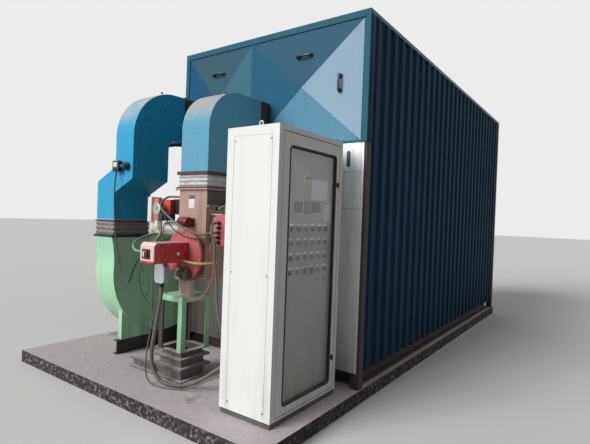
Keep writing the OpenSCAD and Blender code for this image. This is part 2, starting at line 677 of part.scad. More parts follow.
// lifting eyes on the top and the two cable glands on the left side
module cabinet_fittings() {
    xm = (cab_x0 + cab_x1) / 2;
    color([0.80, 0.80, 0.78]) site() {
        for (y = [cab_y0 + 88, cab_y1 - 88]) translate([xm, y, cab_h]) {
            cylinder(r = 18, h = 10);
            cylinder(r = 8, h = 34);
            translate([0, 5, 58]) rotate([90, 0, 0]) difference() {
                cylinder(r = 28, h = 10);
                translate([0, 0, -1]) cylinder(r = 17, h = 12);
            }
        }
        translate([cab_x0 - 29, -780, 260]) rotate([0, 90, 0]) cylinder(r = 24, h = 29);
        translate([cab_x0 - 23, -780, 360]) rotate([0, 90, 0]) cylinder(r = 16, h = 23);
        translate([cab_x0 - 23, -840, 190]) rotate([0, 90, 0]) cylinder(r = 13, h = 23);
    }
}

module hinge_swing() {
    translate([hinge_x, hinge_y, 0]) rotate([0, 0, -door_angle]) translate([-hinge_x, -hinge_y, 0]) children();
}

module cabinet_door() {
    r = 24;
    color([0.88, 0.88, 0.85]) site() hinge_swing() difference() {
        union() {
            block([cab_x1 - door_t, hinge_y, leaf_z0], [cab_x1, leaf_y1, leaf_z1]);
            translate([hinge_x, hinge_y, leaf_z0]) cylinder(r = door_t / 2, h = leaf_z1 - leaf_z0);
        }
        block([cab_x1 - door_t - 1, win_y0 + r, win_z0], [cab_x1 + 1, win_y1 - r, win_z1]);
        block([cab_x1 - door_t - 1, win_y0, win_z0 + r], [cab_x1 + 1, win_y1, win_z1 - r]);
        for (y = [win_y0 + r, win_y1 - r]) for (z = [win_z0 + r, win_z1 - r])
            translate([cab_x1 - door_t - 1, y, z]) rotate([0, 90, 0]) cylinder(r = r, h = door_t + 2);
        for (z = [leaf_z0 - 1, leaf_z1 - 26]) translate([hinge_x, hinge_y, z]) cylinder(r = 4 + eps, h = 27);
    }
}

module door_glass() {
    r = 24;
    color([0.70, 0.76, 0.76, 0.5]) site() hinge_swing() {
        block([cab_x1 - 14, win_y0 + r, win_z0], [cab_x1 - 9, win_y1 - r, win_z1]);
        for (y = [win_y0, win_y1 - r]) block([cab_x1 - 14, y, win_z0 + r], [cab_x1 - 9, y + r, win_z1 - r]);
    }
}

// quarter-turn locks on the free edge
module door_locks() {
    color([0.08, 0.08, 0.09]) site() hinge_swing() for (z = [310, 1658])
        translate([cab_x1, leaf_y1 - 25, z]) rotate([0, 90, 0]) {
            cylinder(r = 15, h = 6);
            block([-22, -5, 5], [8, 5, 14]);
        }
}

module device_plate() {
    color([0.62, 0.63, 0.62]) site() block([plate_x - 4, leaf_y0 + 30, leaf_z0 + 30], [plate_x, leaf_y1 - 25, leaf_z1 - 30]);
}

module panel_buttons() {
    color([0.12, 0.12, 0.13]) site() {
        for (j = [0:3]) for (i = [0:5])
            translate([plate_x, -792 + i * 92, 1315 - j * 102]) rotate([0, 90, 0]) cylinder(r = 17, h = 16, $fn = 24);
        translate([plate_x, -560, 1690]) rotate([0, 90, 0]) cylinder(r = 34, h = 16);
        for (y = [-430, -340]) translate([plate_x, y, 925]) rotate([0, 90, 0]) cylinder(r = 9, h = 8, $fn = 24);
    }
}

module panel_meters() {
    color([0.10, 0.10, 0.10]) site() for (i = [0:2])
        block([plate_x, -785 + i * 115, 1430], [plate_x + 12, -689 + i * 115, 1526]);
}

module power_cable() {
    color([0.40, 0.40, 0.38]) site() tube(power_pts, power_dia, 2, [0.3, 1, 0.1], [0, 0, -1], [1, 0, 0]);
}

module floor_cable() {
    color([0.46, 0.46, 0.44]) site() tube(floor_pts, thin_dia, 3, [0.3, 1, 0.1], [0, 0, -1], [1, 0, 0]);
}

module switch_cable() {
    color([0.09, 0.09, 0.10]) site() tube(switch_pts, thin_dia, 4, [0.34, 0.94, 0], [0, 0, -1], [1, 0, 0]);
}

module junction_cable() {
    color([0.38, 0.38, 0.38]) site() tube(junction_pts, 20, 2, [1, 0.4, 0.2], [0, -1, 0], [1, 0, 0]);
}

module valve_hose() {
    color([0.36, 0.36, 0.36]) site() tube(valve_pts, 18, 2, [0.5, 0.3, 1], [-1, 0, 0], [0, 1, 0]);
}

module sensor_cable() {
    color([0.70, 0.14, 0.16]) site() tube(sensor_pts, 9, 3, [0.7, 0.5, 0.5], [0, 0, -1], [0, 1, 0]);
}

module igniter_cable() {
    color([0.20, 0.20, 0.20]) site() tube(igniter_pts, thin_dia - 2, 3, [0.2, 0.3, 1], [1, 0, 0], [0, 1, 0]);
}

module gas_hose() {
    color([0.80, 0.74, 0.20]) site() tube(gas_pts, 20, 2, [0.3, 0.3, -0.9], [1, 0, 0], [-1, 0, 0]);
}

module control_conduit() {
    color([0.55, 0.57, 0.54]) site() tube(conduit_pts, 20, 2, [0.2, 0.1, 1], [0, -1, 0], [1, 0, 0]);
}

module valve_conduit() {
    color([0.50, 0.52, 0.50]) site() tube(pipe_pts, 22, 2, [0.7, -0.7, 0.5], [0, 0, -1], [1, 0, 0]);
}

plinth();
base_frame();
corner_posts();
casing_body();
side_sheet_right();
side_sheet_left();
rear_sheet();
roof();
front_frame();
front_panel_left();
front_panel_right();
panel_handles();
lower_front_panels();
lower_front_wall();
cold_air_duct();
cold_air_collar();
cold_air_joint();
fan_scroll();
fan_cover();
fan_pedestal();
fan_motor();
pressure_switch();
hot_air_duct();
hot_air_collar();
hot_air_joint();
windbox();
burner_throat();
burner_disc();
control_box();
burner_drums();
valve_boxes();
junction_box();
terminal_box();
burner_stand();
burner_feed();
beam_stack();
cabinet_shell();
cabinet_base();
cabinet_fittings();
cabinet_door();
door_glass();
door_locks();
device_plate();
panel_buttons();
panel_meters();
power_cable();
floor_cable();
switch_cable();
junction_cable();
valve_hose();
sensor_cable();
igniter_cable();
gas_hose();
control_conduit();
valve_conduit();
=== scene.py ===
import json
import math
import bmesh
import bpy
import numpy as np
from mathutils import Matrix, Vector


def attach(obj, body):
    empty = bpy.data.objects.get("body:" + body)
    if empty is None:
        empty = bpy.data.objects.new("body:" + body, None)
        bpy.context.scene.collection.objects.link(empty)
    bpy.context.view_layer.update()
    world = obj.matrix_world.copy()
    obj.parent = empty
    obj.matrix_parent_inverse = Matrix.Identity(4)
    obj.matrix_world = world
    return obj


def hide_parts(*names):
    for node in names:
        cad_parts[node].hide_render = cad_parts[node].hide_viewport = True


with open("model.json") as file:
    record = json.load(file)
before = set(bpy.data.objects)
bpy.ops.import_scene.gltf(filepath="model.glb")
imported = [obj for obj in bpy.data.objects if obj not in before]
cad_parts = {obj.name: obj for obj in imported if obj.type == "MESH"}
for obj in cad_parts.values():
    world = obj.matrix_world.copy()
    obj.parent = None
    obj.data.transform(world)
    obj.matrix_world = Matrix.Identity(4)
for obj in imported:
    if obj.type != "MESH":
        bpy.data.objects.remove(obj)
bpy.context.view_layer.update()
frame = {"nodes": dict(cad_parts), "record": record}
nodes = frame["nodes"]
siteShift = np.array([1.505, -1.815, 0.110])  # casing's front right corner on the plinth, in metres


def site(points):  # site millimetres to metres in the part's frame
    return np.asarray(points, float) / 1000 + siteShift


cameraValues = {
    "focalPixels": 449.2,
    "frameWidth": 590,
    "sensor": 36,
    "place": (1656.8, -3287.7, 1396.7),  # site millimetres
    "azimuth": 35.527,  # this and the next two in degrees
    "pitch": -0.654,
    "roll": 2.083,
}


def placeCamera(v):
    # forward from azimuth and pitch; right and up are then turned about it by the roll
    a, p, r = (math.radians(v[k]) for k in ("azimuth", "pitch", "roll"))
    forward = np.array([-math.sin(a) * math.cos(p), math.cos(a) * math.cos(p), math.sin(p)])
    level = np.array([math.cos(a), math.sin(a), 0.0])
    upright = np.cross(level, forward)
    right = math.cos(r) * level + math.sin(r) * upright
    up = -math.sin(r) * level + math.cos(r) * upright
    data = bpy.data.cameras.new("camera")
    data.sensor_width = v["sensor"]
    data.lens = v["focalPixels"] / v["frameWidth"] * v["sensor"]
    data.clip_end = 100
    camera = bpy.data.objects.new("camera", data)
    bpy.context.scene.collection.objects.link(camera)
    turn = np.eye(4)
    turn[:3, 0], turn[:3, 1], turn[:3, 2], turn[:3, 3] = right, up, -forward, site(v["place"])
    camera.matrix_world = Matrix(turn.tolist())
    bpy.context.scene.camera = camera


placeCamera(cameraValues)
print("camera placed")


def newPiece(name, points, faces, smooth=True):
    mesh = bpy.data.meshes.new(name)
    mesh.from_pydata(np.asarray(points, float).tolist(), [], [list(f) for f in faces])
    mesh.polygons.foreach_set("use_smooth", np.full(len(mesh.polygons), smooth))
    mesh.update()
    piece = bpy.data.objects.new(name, mesh)
    bpy.context.scene.collection.objects.link(piece)
    return piece


def gridFaces(nu, nv, closeU=False, closeV=False, first=0):
    # each cell of the nu by nv grid joins a corner to its neighbours along u, both, and v
    ids = first + np.arange(nu * nv).reshape(nu, nv)
    if closeU:
        ids = np.vstack([ids, ids[:1]])
    if closeV:
        ids = np.hstack([ids, ids[:, :1]])
    return np.stack([ids[:-1, :-1], ids[1:, :-1], ids[1:, 1:], ids[:-1, 1:]], -1).reshape(-1, 4)


def healed(piece, sharp=35):
    # merges doubles at seams and poles, turns faces outwards and keeps edges over the angle crisp
    mesh = bmesh.new()
    mesh.from_mesh(piece.data)
    bmesh.ops.remove_doubles(mesh, verts=mesh.verts, dist=1e-6)
    bmesh.ops.dissolve_degenerate(mesh, edges=mesh.edges, dist=1e-7)
    bmesh.ops.recalc_face_normals(mesh, faces=mesh.faces)
    for e in mesh.edges:
        if len(e.link_faces) == 2:
            e.smooth = e.calc_face_angle(0) < math.radians(sharp)
    mesh.to_mesh(piece.data)
    mesh.free()
    return piece


def softened(piece, width=3, segments=2):
    # rounds every edge over 30 degrees by the width in millimetres
    bevel = piece.modifiers.new("edges", "BEVEL")
    bevel.width = width / 1000
    bevel.segments = segments
    bevel.limit_method = "ANGLE"
    bevel.angle_limit = math.radians(30)
    bevel.harden_normals = False
    return piece


def axesFor(direction):
    # two unit vectors square to the direction and to each other
    d = np.asarray(direction, float)
    d = d / np.linalg.norm(d)
    side = np.cross(d, [0, 0, 1]) if abs(d[2]) < 0.9 else np.cross(d, [0, 1, 0])
    side = side / np.linalg.norm(side)
    return d, side, np.cross(d, side)


def turned(name, profile, places, direction, steps=48, sharp=35):
    # revolved surface at each place: point (i, j) is the place, plus height i along the axis, plus radius i
    # round it at angle j
    d, u, v = axesFor(direction)
    profile = np.asarray(profile, float) / 1000
    places = site(np.atleast_2d(places))
    angle = np.arange(steps) * 2 * math.pi / steps
    ring = np.cos(angle)[:, None] * u + np.sin(angle)[:, None] * v
    shape = profile[:, 1, None, None] * d + profile[:, 0, None, None] * ring[None]
    points = places[:, None, None] + shape[None]
    n, m = len(profile), len(profile) * steps
    cells = gridFaces(n, steps, closeV=True)
    faces = np.concatenate([cells + k * m for k in range(len(places))])
    return healed(newPiece(name, points.reshape(-1, 3), faces), sharp)


def boltProfile(r, h):  # washer, hexagon and crown, radius against height
    return [(0, 0), (1.5 * r, 0), (1.5 * r, 0.25 * h), (r, 0.25 * h), (r, 0.85 * h), (0.8 * r, h), (0, h)]


def prism(name, outline, low, high, axis="X", sharp=35):
    # outline carried straight along one axis, from low to high: point (i, k) is outline point i at end k
    outline = np.asarray(outline, float)
    n = len(outline)
    ends = np.repeat([low, high], n)
    a, b = np.tile(outline[:, 0], 2), np.tile(outline[:, 1], 2)
    columns = {"X": (ends, a, b), "Y": (a, ends, b), "Z": (a, b, ends)}[axis]
    faces = gridFaces(2, n, closeV=True).tolist() + [list(range(n)), list(range(n, 2 * n))]
    return healed(newPiece(name, site(np.stack(columns, -1)), faces), sharp)


def roundedBoxes(name, boxes, radius, arc=3, taper=(0, 0)):
    # a ball's direction q on a cube grid, plus the sign of q times the box's inner half size, for each box;
    # taper narrows x and y from top to bottom in proportion to the height
    t = np.linspace(0, 1, arc)
    t = np.concatenate([-t[::-1], t])
    t[arc - 1], t[arc] = -1e-4, 1e-4
    a, b = np.meshgrid(t, t, indexing="ij")
    one = np.ones_like(a)
    sides = [np.stack(c, -1).reshape(-1, 3) for c in
             ((one, a, b), (-one, a, b), (a, one, b), (a, -one, b), (a, b, one), (a, b, -one))]
    q = np.concatenate(sides)
    q = np.sign(q) * np.tan(np.abs(q) * math.pi / 4)
    q = q / np.linalg.norm(q, axis=1)[:, None]
    cells = np.concatenate([gridFaces(2 * arc, 2 * arc, first=k * 4 * arc * arc) for k in range(6)])
    points, faces = [], []
    for k, (low, high) in enumerate(boxes):
        low, high = np.minimum(low, high).astype(float), np.maximum(low, high).astype(float)
        half = (high - low) / 2
        r = min(radius, 0.98 * half.min())
        p = np.sign(q) * (half - r) + r * q
        sink = (half[2] - p[:, 2:3]) / (2 * half[2])
        p[:, :2] *= 1 - sink * np.asarray(taper)
        points.append(p + (low + high) / 2)
        faces.append(cells + k * len(q))
    return healed(newPiece(name, site(np.concatenate(points)), np.concatenate(faces)), 50)


def roundedLoop(low, high, r, steps=6):
    # closed rounded rectangle: each corner centre plus the radius at angles over its quarter
    (x0, y0), (x1, y1) = low, high
    angle = np.linspace(0, math.pi / 2, steps)
    centres = ((x1 - r, y1 - r), (x0 + r, y1 - r), (x0 + r, y0 + r), (x1 - r, y0 + r))
    corners = []
    for k, (x, y) in enumerate(centres):
        turn = angle + k * math.pi / 2
        corners.append(np.stack([x + r * np.cos(turn), y + r * np.sin(turn)], -1))
    return np.concatenate(corners)


def swept(name, outline, line, normal, closed=True, sharp=35):
    # outline point j rides on line point i: across by its first number, along the fixed normal by its second
    line, outline, normal = np.asarray(line, float), np.asarray(outline, float), np.asarray(normal, float)
    if closed:
        heading = np.roll(line, -1, 0) - np.roll(line, 1, 0)
    else:
        heading = np.gradient(line, axis=0)
    heading = heading / np.linalg.norm(heading, axis=1)[:, None]
    across = np.cross(heading, normal)
    points = line[:, None] + outline[None, :, 0, None] * across[:, None] + outline[None, :, 1, None] * normal
    n, m = len(line), len(outline)
    faces = gridFaces(n, m, closeU=closed, closeV=True).tolist()
    if not closed:
        faces += [list(range(m)), list(range((n - 1) * m, n * m))]
    return healed(newPiece(name, site(points.reshape(-1, 3)), faces), sharp)


def smoothRoute(points, samples):
    # each span is the cubic through its two ends whose slopes are half the step between their neighbours
    p = np.asarray(points, float)
    n = len(p)
    i = np.repeat(np.arange(n - 1), samples)
    t = np.tile(np.arange(samples) / samples, n - 1)[:, None]
    a, b, c, d = (p[np.clip(i + k, 0, n - 1)] for k in (-1, 0, 1, 2))
    line = 0.5 * (2 * b + (c - a) * t + (2 * a - 5 * b + 4 * c - d) * t**2 + (3 * b - a - 3 * c + d) * t**3)
    return np.vstack([line, p[-1:]])


def tube(name, line, radius, sides=12, up=(0.3, 1, 0.1), ends=None):
    # ring i stands square to the line at point i; its points turn once round at the given radius
    line = np.asarray(line, float)
    heading = np.gradient(line, axis=0)
    if ends is not None:
        heading[0], heading[-1] = ends
    heading /= np.linalg.norm(heading, axis=1)[:, None]
    u = np.cross(heading, up)
    u /= np.linalg.norm(u, axis=1)[:, None]
    v = np.cross(heading, u)
    angle = np.arange(sides) * 2 * math.pi / sides
    r = np.broadcast_to(np.asarray(radius, float), (len(line),))[:, None, None]
    points = line[:, None] + r * (np.cos(angle)[:, None] * u[:, None] + np.sin(angle)[:, None] * v[:, None])
    n = len(line)
    faces = gridFaces(n, sides, closeV=True).tolist()
    faces += [list(range(sides))[::-1], list(range((n - 1) * sides, n * sides))]
    piece = newPiece(name, points.reshape(-1, 3), faces)
    along = np.repeat(np.concatenate([[0], np.cumsum(np.linalg.norm(np.diff(line, axis=0), axis=1))]), sides)
    piece.data.attributes.new("along", "FLOAT", "POINT").data.foreach_set("value", along.astype(np.float32))
    return piece


def put(piece, body, slot, material, *replaced):
    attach(piece, body)
    if replaced:
        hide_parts(*replaced)
    piece.data.materials.clear()
    piece.data.materials.append(material)
    return piece


cableRoutes = {
    "power": [(-1286, -973, 794.7), (-1287, -974, 750), (-1296, -978, 660), (-1312, -982, 560),
        (-1338, -985, 430), (-1364, -984, 310), (-1377, -978, 218), (-1374, -968, 148),
        (-1352, -957, 84), (-1309, -947, 38), (-1242, -936, 17.5), (-1165, -916, 18), (-1090, -886, 25),
        (-1005, -850, 56), (-915, -822, 112), (-820, -798, 185), (-735, -784, 236), (-665, -780, 258),
        (-612.3, -780, 260)],
    "floor": [(-1318, -965, 829.7), (-1319, -966, 800), (-1336, -970, 700), (-1362, -974, 590),
        (-1384, -980, 488), (-1400, -984, 400), (-1420, -990, 283), (-1426, -996, 192),
        (-1416, -1003, 112), (-1386, -1006, 46), (-1332, -1003, 12), (-1260, -994, 7),
        (-1176, -974, 7.5), (-1095, -936, 10), (-1005, -900, 28), (-905, -872, 82), (-805, -852, 140),
        (-715, -843, 178), (-655, -840, 190), (-606.3, -840, 190)],
    "switch": [(-2159, -845, 1761.7), (-2159, -847, 1730), (-2149, -862, 1650), (-2110, -888, 1480),
        (-2045, -920, 1309), (-1960, -950, 1097), (-1865, -983, 964), (-1725, -1033, 862),
        (-1625, -1070, 822), (-1545, -1100, 815), (-1480, -1125, 862), (-1420, -1143, 940),
        (-1362, -1152, 1006), (-1320, -1155, 1034), (-1272.3, -1155, 1040)],
    "junction": [(-858, -802.3, 1327), (-858, -812, 1327), (-854, -842, 1324), (-845, -870, 1308),
        (-832, -887, 1280), (-820, -891, 1240), (-808, -879, 1190), (-806, -874, 1111),
        (-807, -865, 1024), (-803, -854, 936), (-802, -842, 848), (-804, -834, 748), (-794, -826, 640),
        (-772, -815, 540), (-738, -802, 455), (-700, -790, 400), (-655, -782, 368), (-606.3, -780, 360)],
    "valve": [(-1335.3, -746, 1530), (-1355, -747, 1530), (-1432, -752, 1531), (-1474, -763, 1531),
        (-1504, -776, 1522), (-1525, -793, 1502), (-1532, -810, 1475), (-1523, -824, 1448),
        (-1496, -838, 1426), (-1448, -853, 1405), (-1375, -871, 1373), (-1296, -886, 1338),
        (-1218, -894, 1308), (-1142, -896, 1277), (-1066, -894, 1257), (-992, -891, 1240),
        (-935, -888, 1237), (-902, -881, 1240), (-878, -866, 1244), (-863, -843, 1249),
        (-858, -820, 1251), (-858, -802.3, 1251)],
    "sensor": [(-1150, -896, 867.7), (-1150, -897, 845), (-1142, -896, 800), (-1113, -892, 757),
        (-1055, -888, 728), (-980, -886, 728), (-922, -882, 753), (-888, -872, 793), (-868, -858, 838),
        (-858, -842, 890), (-851, -838, 935), (-844, -843, 980), (-841, -853, 1030), (-842, -866, 1080),
        (-845, -876, 1112), (-849, -876, 1142), (-854, -862, 1164), (-857, -838, 1174),
        (-858, -818, 1175), (-858, -802.3, 1175)],
    "igniter": [(-1655.7, -700, 1461), (-1644, -700, 1461), (-1613, -712, 1452), (-1578, -744, 1428),
        (-1530, -792, 1397), (-1488, -816, 1376), (-1425, -845, 1340), (-1360, -860, 1302),
        (-1290, -872, 1262), (-1205, -881, 1229), (-1105, -885, 1205), (-1000, -885, 1198),
        (-940, -882, 1201), (-900, -874, 1207), (-872, -854, 1211), (-859, -826, 1213),
        (-858, -802.3, 1213)],
    "gas": [(-1111.7, -907, 1016), (-1088, -907, 1016), (-1035, -903, 1010), (-985, -886, 1006),
        (-945, -848, 1005), (-924, -798, 1006), (-917, -742, 1007), (-916, -690, 1008),
        (-916, -645, 1009), (-917, -604, 1010), (-928, -563, 1010), (-958, -533, 1010),
        (-998.7, -522, 1010)],
    "control": [(-1630, -764.3, 1204), (-1629, -780, 1203), (-1616, -830, 1198), (-1606, -870, 1192),
        (-1599, -915, 1184), (-1588, -965, 1172), (-1562, -1030, 1151), (-1508, -1090, 1123),
        (-1433, -1135, 1101), (-1368, -1157, 1091), (-1310, -1166, 1088), (-1272.3, -1167, 1087)],
    "pipe": [(-1570, -781, 1339.7), (-1570, -781, 1318), (-1568, -782, 1280), (-1563, -785, 1248),
        (-1551, -796, 1217), (-1534, -817, 1193), (-1514, -850, 1172), (-1488, -892, 1152),
        (-1448, -934, 1133), (-1392, -964, 1118), (-1330, -975, 1111), (-1272.3, -976, 1110)],
}
cableValues = {  # route, node, diameter in millimetres, ring's upright, first and last heading, stiffness
    "powerCable": ("power", "power_cable", 32, (0.3, 1, 0.1), ((0, 0, -1), (1, 0, 0)), "stiff"),
    "floorCable": ("floor", "floor_cable", 12, (0.3, 1, 0.1), ((0, 0, -1), (1, 0, 0)), "medium"),
    "switchCable": ("switch", "switch_cable", 12, (0.34, 0.94, 0), ((0, 0, -1), (1, 0, 0)), "medium"),
    "junctionCable": ("junction", "junction_cable", 20, (1, 0.4, 0.2), ((0, -1, 0), (1, 0, 0)), "stiff"),
    "valveHose": ("valve", "valve_hose", 18, (0.5, 0.3, 1), ((-1, 0, 0), (0, 1, 0)), "medium"),
    "sensorCable": ("sensor", "sensor_cable", 9, (0.7, 0.5, 0.5), ((0, 0, -1), (0, 1, 0)), "medium"),
    "igniterCable": ("igniter", "igniter_cable", 10, (0.2, 0.3, 1), ((1, 0, 0), (0, 1, 0)), "medium"),
    "gasHose": ("gas", "gas_hose", 20, (0.3, 0.3, -0.9), ((1, 0, 0), (-1, 0, 0)), "medium"),
    "controlConduit": ("control", "control_conduit", 20, (0.2, 0.1, 1), ((0, -1, 0), (1, 0, 0)), "stiff"),
    "valveConduit": ("pipe", "valve_conduit", 22, (0.7, -0.7, 0.5), ((0, 0, -1), (1, 0, 0)), "stiff"),
}
cables = {}
for cableName, (cableRoute, cableNode, diameter, upright, ends, stiffness) in cableValues.items():
    line = site(smoothRoute(cableRoutes[cableRoute], 6))
    cable = tube(cableName, line, diameter / 2000, sides=14, up=upright, ends=ends)
    cables[cableName] = cable, cableNode
gasPipeValues = {"from": 36, "diameter": 22.8}  # its first point on the hose's route, and millimetres
gasLine = site(smoothRoute(cableRoutes["gas"], 6))[gasPipeValues["from"]:]
gasUpright, gasEnds = cableValues["gasHose"][3:5]
gasPipe = tube("gasPipe", gasLine, gasPipeValues["diameter"] / 2000, 14, up=gasUpright, ends=gasEnds)
print("cables laid")


def newGroup(name, inputs, outputs):
    group = bpy.data.node_groups.new(name, "ShaderNodeTree")
    for label, kind, default in inputs:
        socket = group.interface.new_socket(name=label, in_out="INPUT", socket_type=kind)
        if default is not None:
            socket.default_value = default
    for label, kind in outputs:
        group.interface.new_socket(name=label, in_out="OUTPUT", socket_type=kind)
    return group, group.nodes.new("NodeGroupInput"), group.nodes.new("NodeGroupOutput")


def mathNode(tree, operation, a=None, b=None, c=None, clamp=False):
    node = tree.nodes.new("ShaderNodeMath")
    node.operation = operation
    node.use_clamp = clamp
    for k, value in enumerate((a, b, c)):
        if value is None:
            continue
        if isinstance(value, bpy.types.NodeSocket):
            tree.links.new(value, node.inputs[k])
        else:
            node.inputs[k].default_value = value
    return node.outputs[0]


def ramp(tree, value, low, high):
    # 0 below low, 1 above high, smooth between
    node = tree.nodes.new("ShaderNodeMapRange")
    node.interpolation_type = "SMOOTHSTEP"
    tree.links.new(value, node.inputs["Value"])
    for key, v in (("From Min", low), ("From Max", high)):
        if isinstance(v, bpy.types.NodeSocket):
            tree.links.new(v, node.inputs[key])
        else:
            node.inputs[key].default_value = v
    return node.outputs[0]


def mixColour(tree, factor, a, b, blend="MIX"):
    node = tree.nodes.new("ShaderNodeMix")
    node.data_type = "RGBA"
    node.blend_type = blend
    for socket, value in ((node.inputs[0], factor), (node.inputs[6], a), (node.inputs[7], b)):
        if isinstance(value, bpy.types.NodeSocket):
            tree.links.new(value, socket)
        else:
            socket.default_value = value if socket == node.inputs[0] else (*value[:3], 1)
    return node.outputs[2]


def noise(tree, vector, scale, detail=4, roughness=0.55, stretch=None):
    if stretch is not None:
        mapping = tree.nodes.new("ShaderNodeMapping")
        mapping.inputs["Scale"].default_value = stretch
        tree.links.new(vector, mapping.inputs["Vector"])
        vector = mapping.outputs["Vector"]
    node = tree.nodes.new("ShaderNodeTexNoise")
    node.inputs["Detail"].default_value = detail
    node.inputs["Roughness"].default_value = roughness
    tree.links.new(vector, node.inputs["Vector"])
    if isinstance(scale, bpy.types.NodeSocket):
        tree.links.new(scale, node.inputs["Scale"])
    else:
        node.inputs["Scale"].default_value = scale
    return node.outputs["Fac"]


def makeAgedPaint():
    # paint colour times a cloudy tone; over it runs of dirt, then dust where faces look up, then soil near
    # the ground, then small chips, each mixed in by its own mask
    group, given, result = newGroup("agedPaint", [
        ("Vector", "NodeSocketVector", None), ("Color", "NodeSocketColor", (0.5, 0.5, 0.5, 1)),
        ("Dirt Color", "NodeSocketColor", (0.1, 0.09, 0.08, 1)),
        ("Dust Color", "NodeSocketColor", (0.5, 0.47, 0.42, 1)),
        ("Cloud", "NodeSocketFloat", 0.15), ("Runs", "NodeSocketFloat", 0.2),
        ("Dust", "NodeSocketFloat", 0.3), ("Chips", "NodeSocketFloat", 0.1),
        ("Soil", "NodeSocketFloat", 0.3), ("Scale", "NodeSocketFloat", 1.0),
        ("Roughness", "NodeSocketFloat", 0.45)],
        [("Color", "NodeSocketColor"), ("Roughness", "NodeSocketFloat"), ("Height", "NodeSocketFloat")])
    t = group
    vector = given.outputs["Vector"]
    scaled = t.nodes.new("ShaderNodeVectorMath")
    scaled.operation = "SCALE"
    t.links.new(vector, scaled.inputs[0])
    t.links.new(given.outputs["Scale"], scaled.inputs["Scale"])
    p = scaled.outputs[0]
    cloud = noise(t, p, 2.2, 5, 0.6)
    fine = noise(t, p, 34, 3, 0.6)
    runs = noise(t, p, 9, 5, 0.62, stretch=(1.6, 1.6, 0.12))
    spots = noise(t, p, 60, 3, 0.5)
    normal = t.nodes.new("ShaderNodeNewGeometry")
    split = t.nodes.new("ShaderNodeSeparateXYZ")
    t.links.new(normal.outputs["Normal"], split.inputs[0])
    place = t.nodes.new("ShaderNodeSeparateXYZ")
    t.links.new(vector, place.inputs[0])
    wide = mathNode(t, "MULTIPLY", given.outputs["Cloud"], 2.0)
    tone = mathNode(t, "MULTIPLY_ADD", mathNode(t, "SUBTRACT", cloud, 0.5), wide, 1.0)
    tone = mathNode(t, "MULTIPLY_ADD", mathNode(t, "SUBTRACT", fine, 0.5),
                    mathNode(t, "MULTIPLY", wide, 0.25), tone)
    grey = t.nodes.new("ShaderNodeCombineColor")
    for k in range(3):
        t.links.new(tone, grey.inputs[k])
    colour = mixColour(t, 1.0, given.outputs["Color"], grey.outputs[0], "MULTIPLY")
    runMask = mathNode(t, "MULTIPLY", ramp(t, runs, 0.52, 0.74), given.outputs["Runs"], clamp=True)
    colour = mixColour(t, runMask, colour, given.outputs["Dirt Color"])
    upward = ramp(t, split.outputs[2], 0.1, 0.6)
    patchy = ramp(t, cloud, 0.2, 0.6)
    dustMask = mathNode(t, "MULTIPLY", mathNode(t, "MULTIPLY", upward, patchy), given.outputs["Dust"],
                        clamp=True)
    veil = mathNode(t, "MULTIPLY", mathNode(t, "MULTIPLY", ramp(t, fine, 0.45, 0.8), given.outputs["Dust"]),
                    0.25)
    dustMask = mathNode(t, "MAXIMUM", dustMask, veil)
    colour = mixColour(t, dustMask, colour, given.outputs["Dust Color"])
    low = mathNode(t, "SUBTRACT", 1.0,
                   ramp(t, mathNode(t, "MULTIPLY_ADD", cloud, -0.5, place.outputs[2]), -0.1, 0.45))
    streaky = mathNode(t, "MULTIPLY", low, ramp(t, runs, 0.25, 0.7))
    soilMask = mathNode(t, "MULTIPLY", streaky, given.outputs["Soil"], clamp=True)
    colour = mixColour(t, soilMask, colour, given.outputs["Dirt Color"])
    limit = mathNode(t, "SUBTRACT", 0.78, mathNode(t, "MULTIPLY", given.outputs["Chips"], 0.2))
    chipMask = mathNode(t, "MULTIPLY", ramp(t, spots, limit, mathNode(t, "ADD", limit, 0.02)),
                        ramp(t, given.outputs["Chips"], 0.0, 0.05))
    colour = mixColour(t, chipMask, colour, given.outputs["Dirt Color"])
    rough = mathNode(t, "ADD", given.outputs["Roughness"], mathNode(t, "MULTIPLY", dustMask, 0.4))
    rough = mathNode(t, "MULTIPLY_ADD", mathNode(t, "SUBTRACT", fine, 0.5), 0.25, rough, clamp=True)
    whole = mathNode(t, "MULTIPLY", mathNode(t, "SUBTRACT", 1.0, chipMask), 0.5)
    height = mathNode(t, "MULTIPLY_ADD", fine, 0.15, whole)
    t.links.new(colour, result.inputs["Color"])
    t.links.new(rough, result.inputs["Roughness"])
    t.links.new(height, result.inputs["Height"])
    return group


def makeRippled():
    # rings or ribs across a length: a wave of the given pitch along the value, and a mask of its grooves for
    # painted shade
    group, given, result = newGroup("rippled",
                                    [("Along", "NodeSocketFloat", 0.0), ("Pitch", "NodeSocketFloat", 0.006)],
                                    [("Height", "NodeSocketFloat"), ("GrooveShade", "NodeSocketFloat")])
    t = group
    turns = mathNode(t, "DIVIDE", given.outputs["Along"], given.outputs["Pitch"])
    wave = mathNode(t, "SINE", mathNode(t, "MULTIPLY", turns, 2 * math.pi))
    height = mathNode(t, "MULTIPLY_ADD", wave, 0.5, 0.5)
    t.links.new(height, result.inputs["Height"])
    t.links.new(mathNode(t, "SUBTRACT", 1.0, ramp(t, height, 0.05, 0.5)), result.inputs["GrooveShade"])
    return group


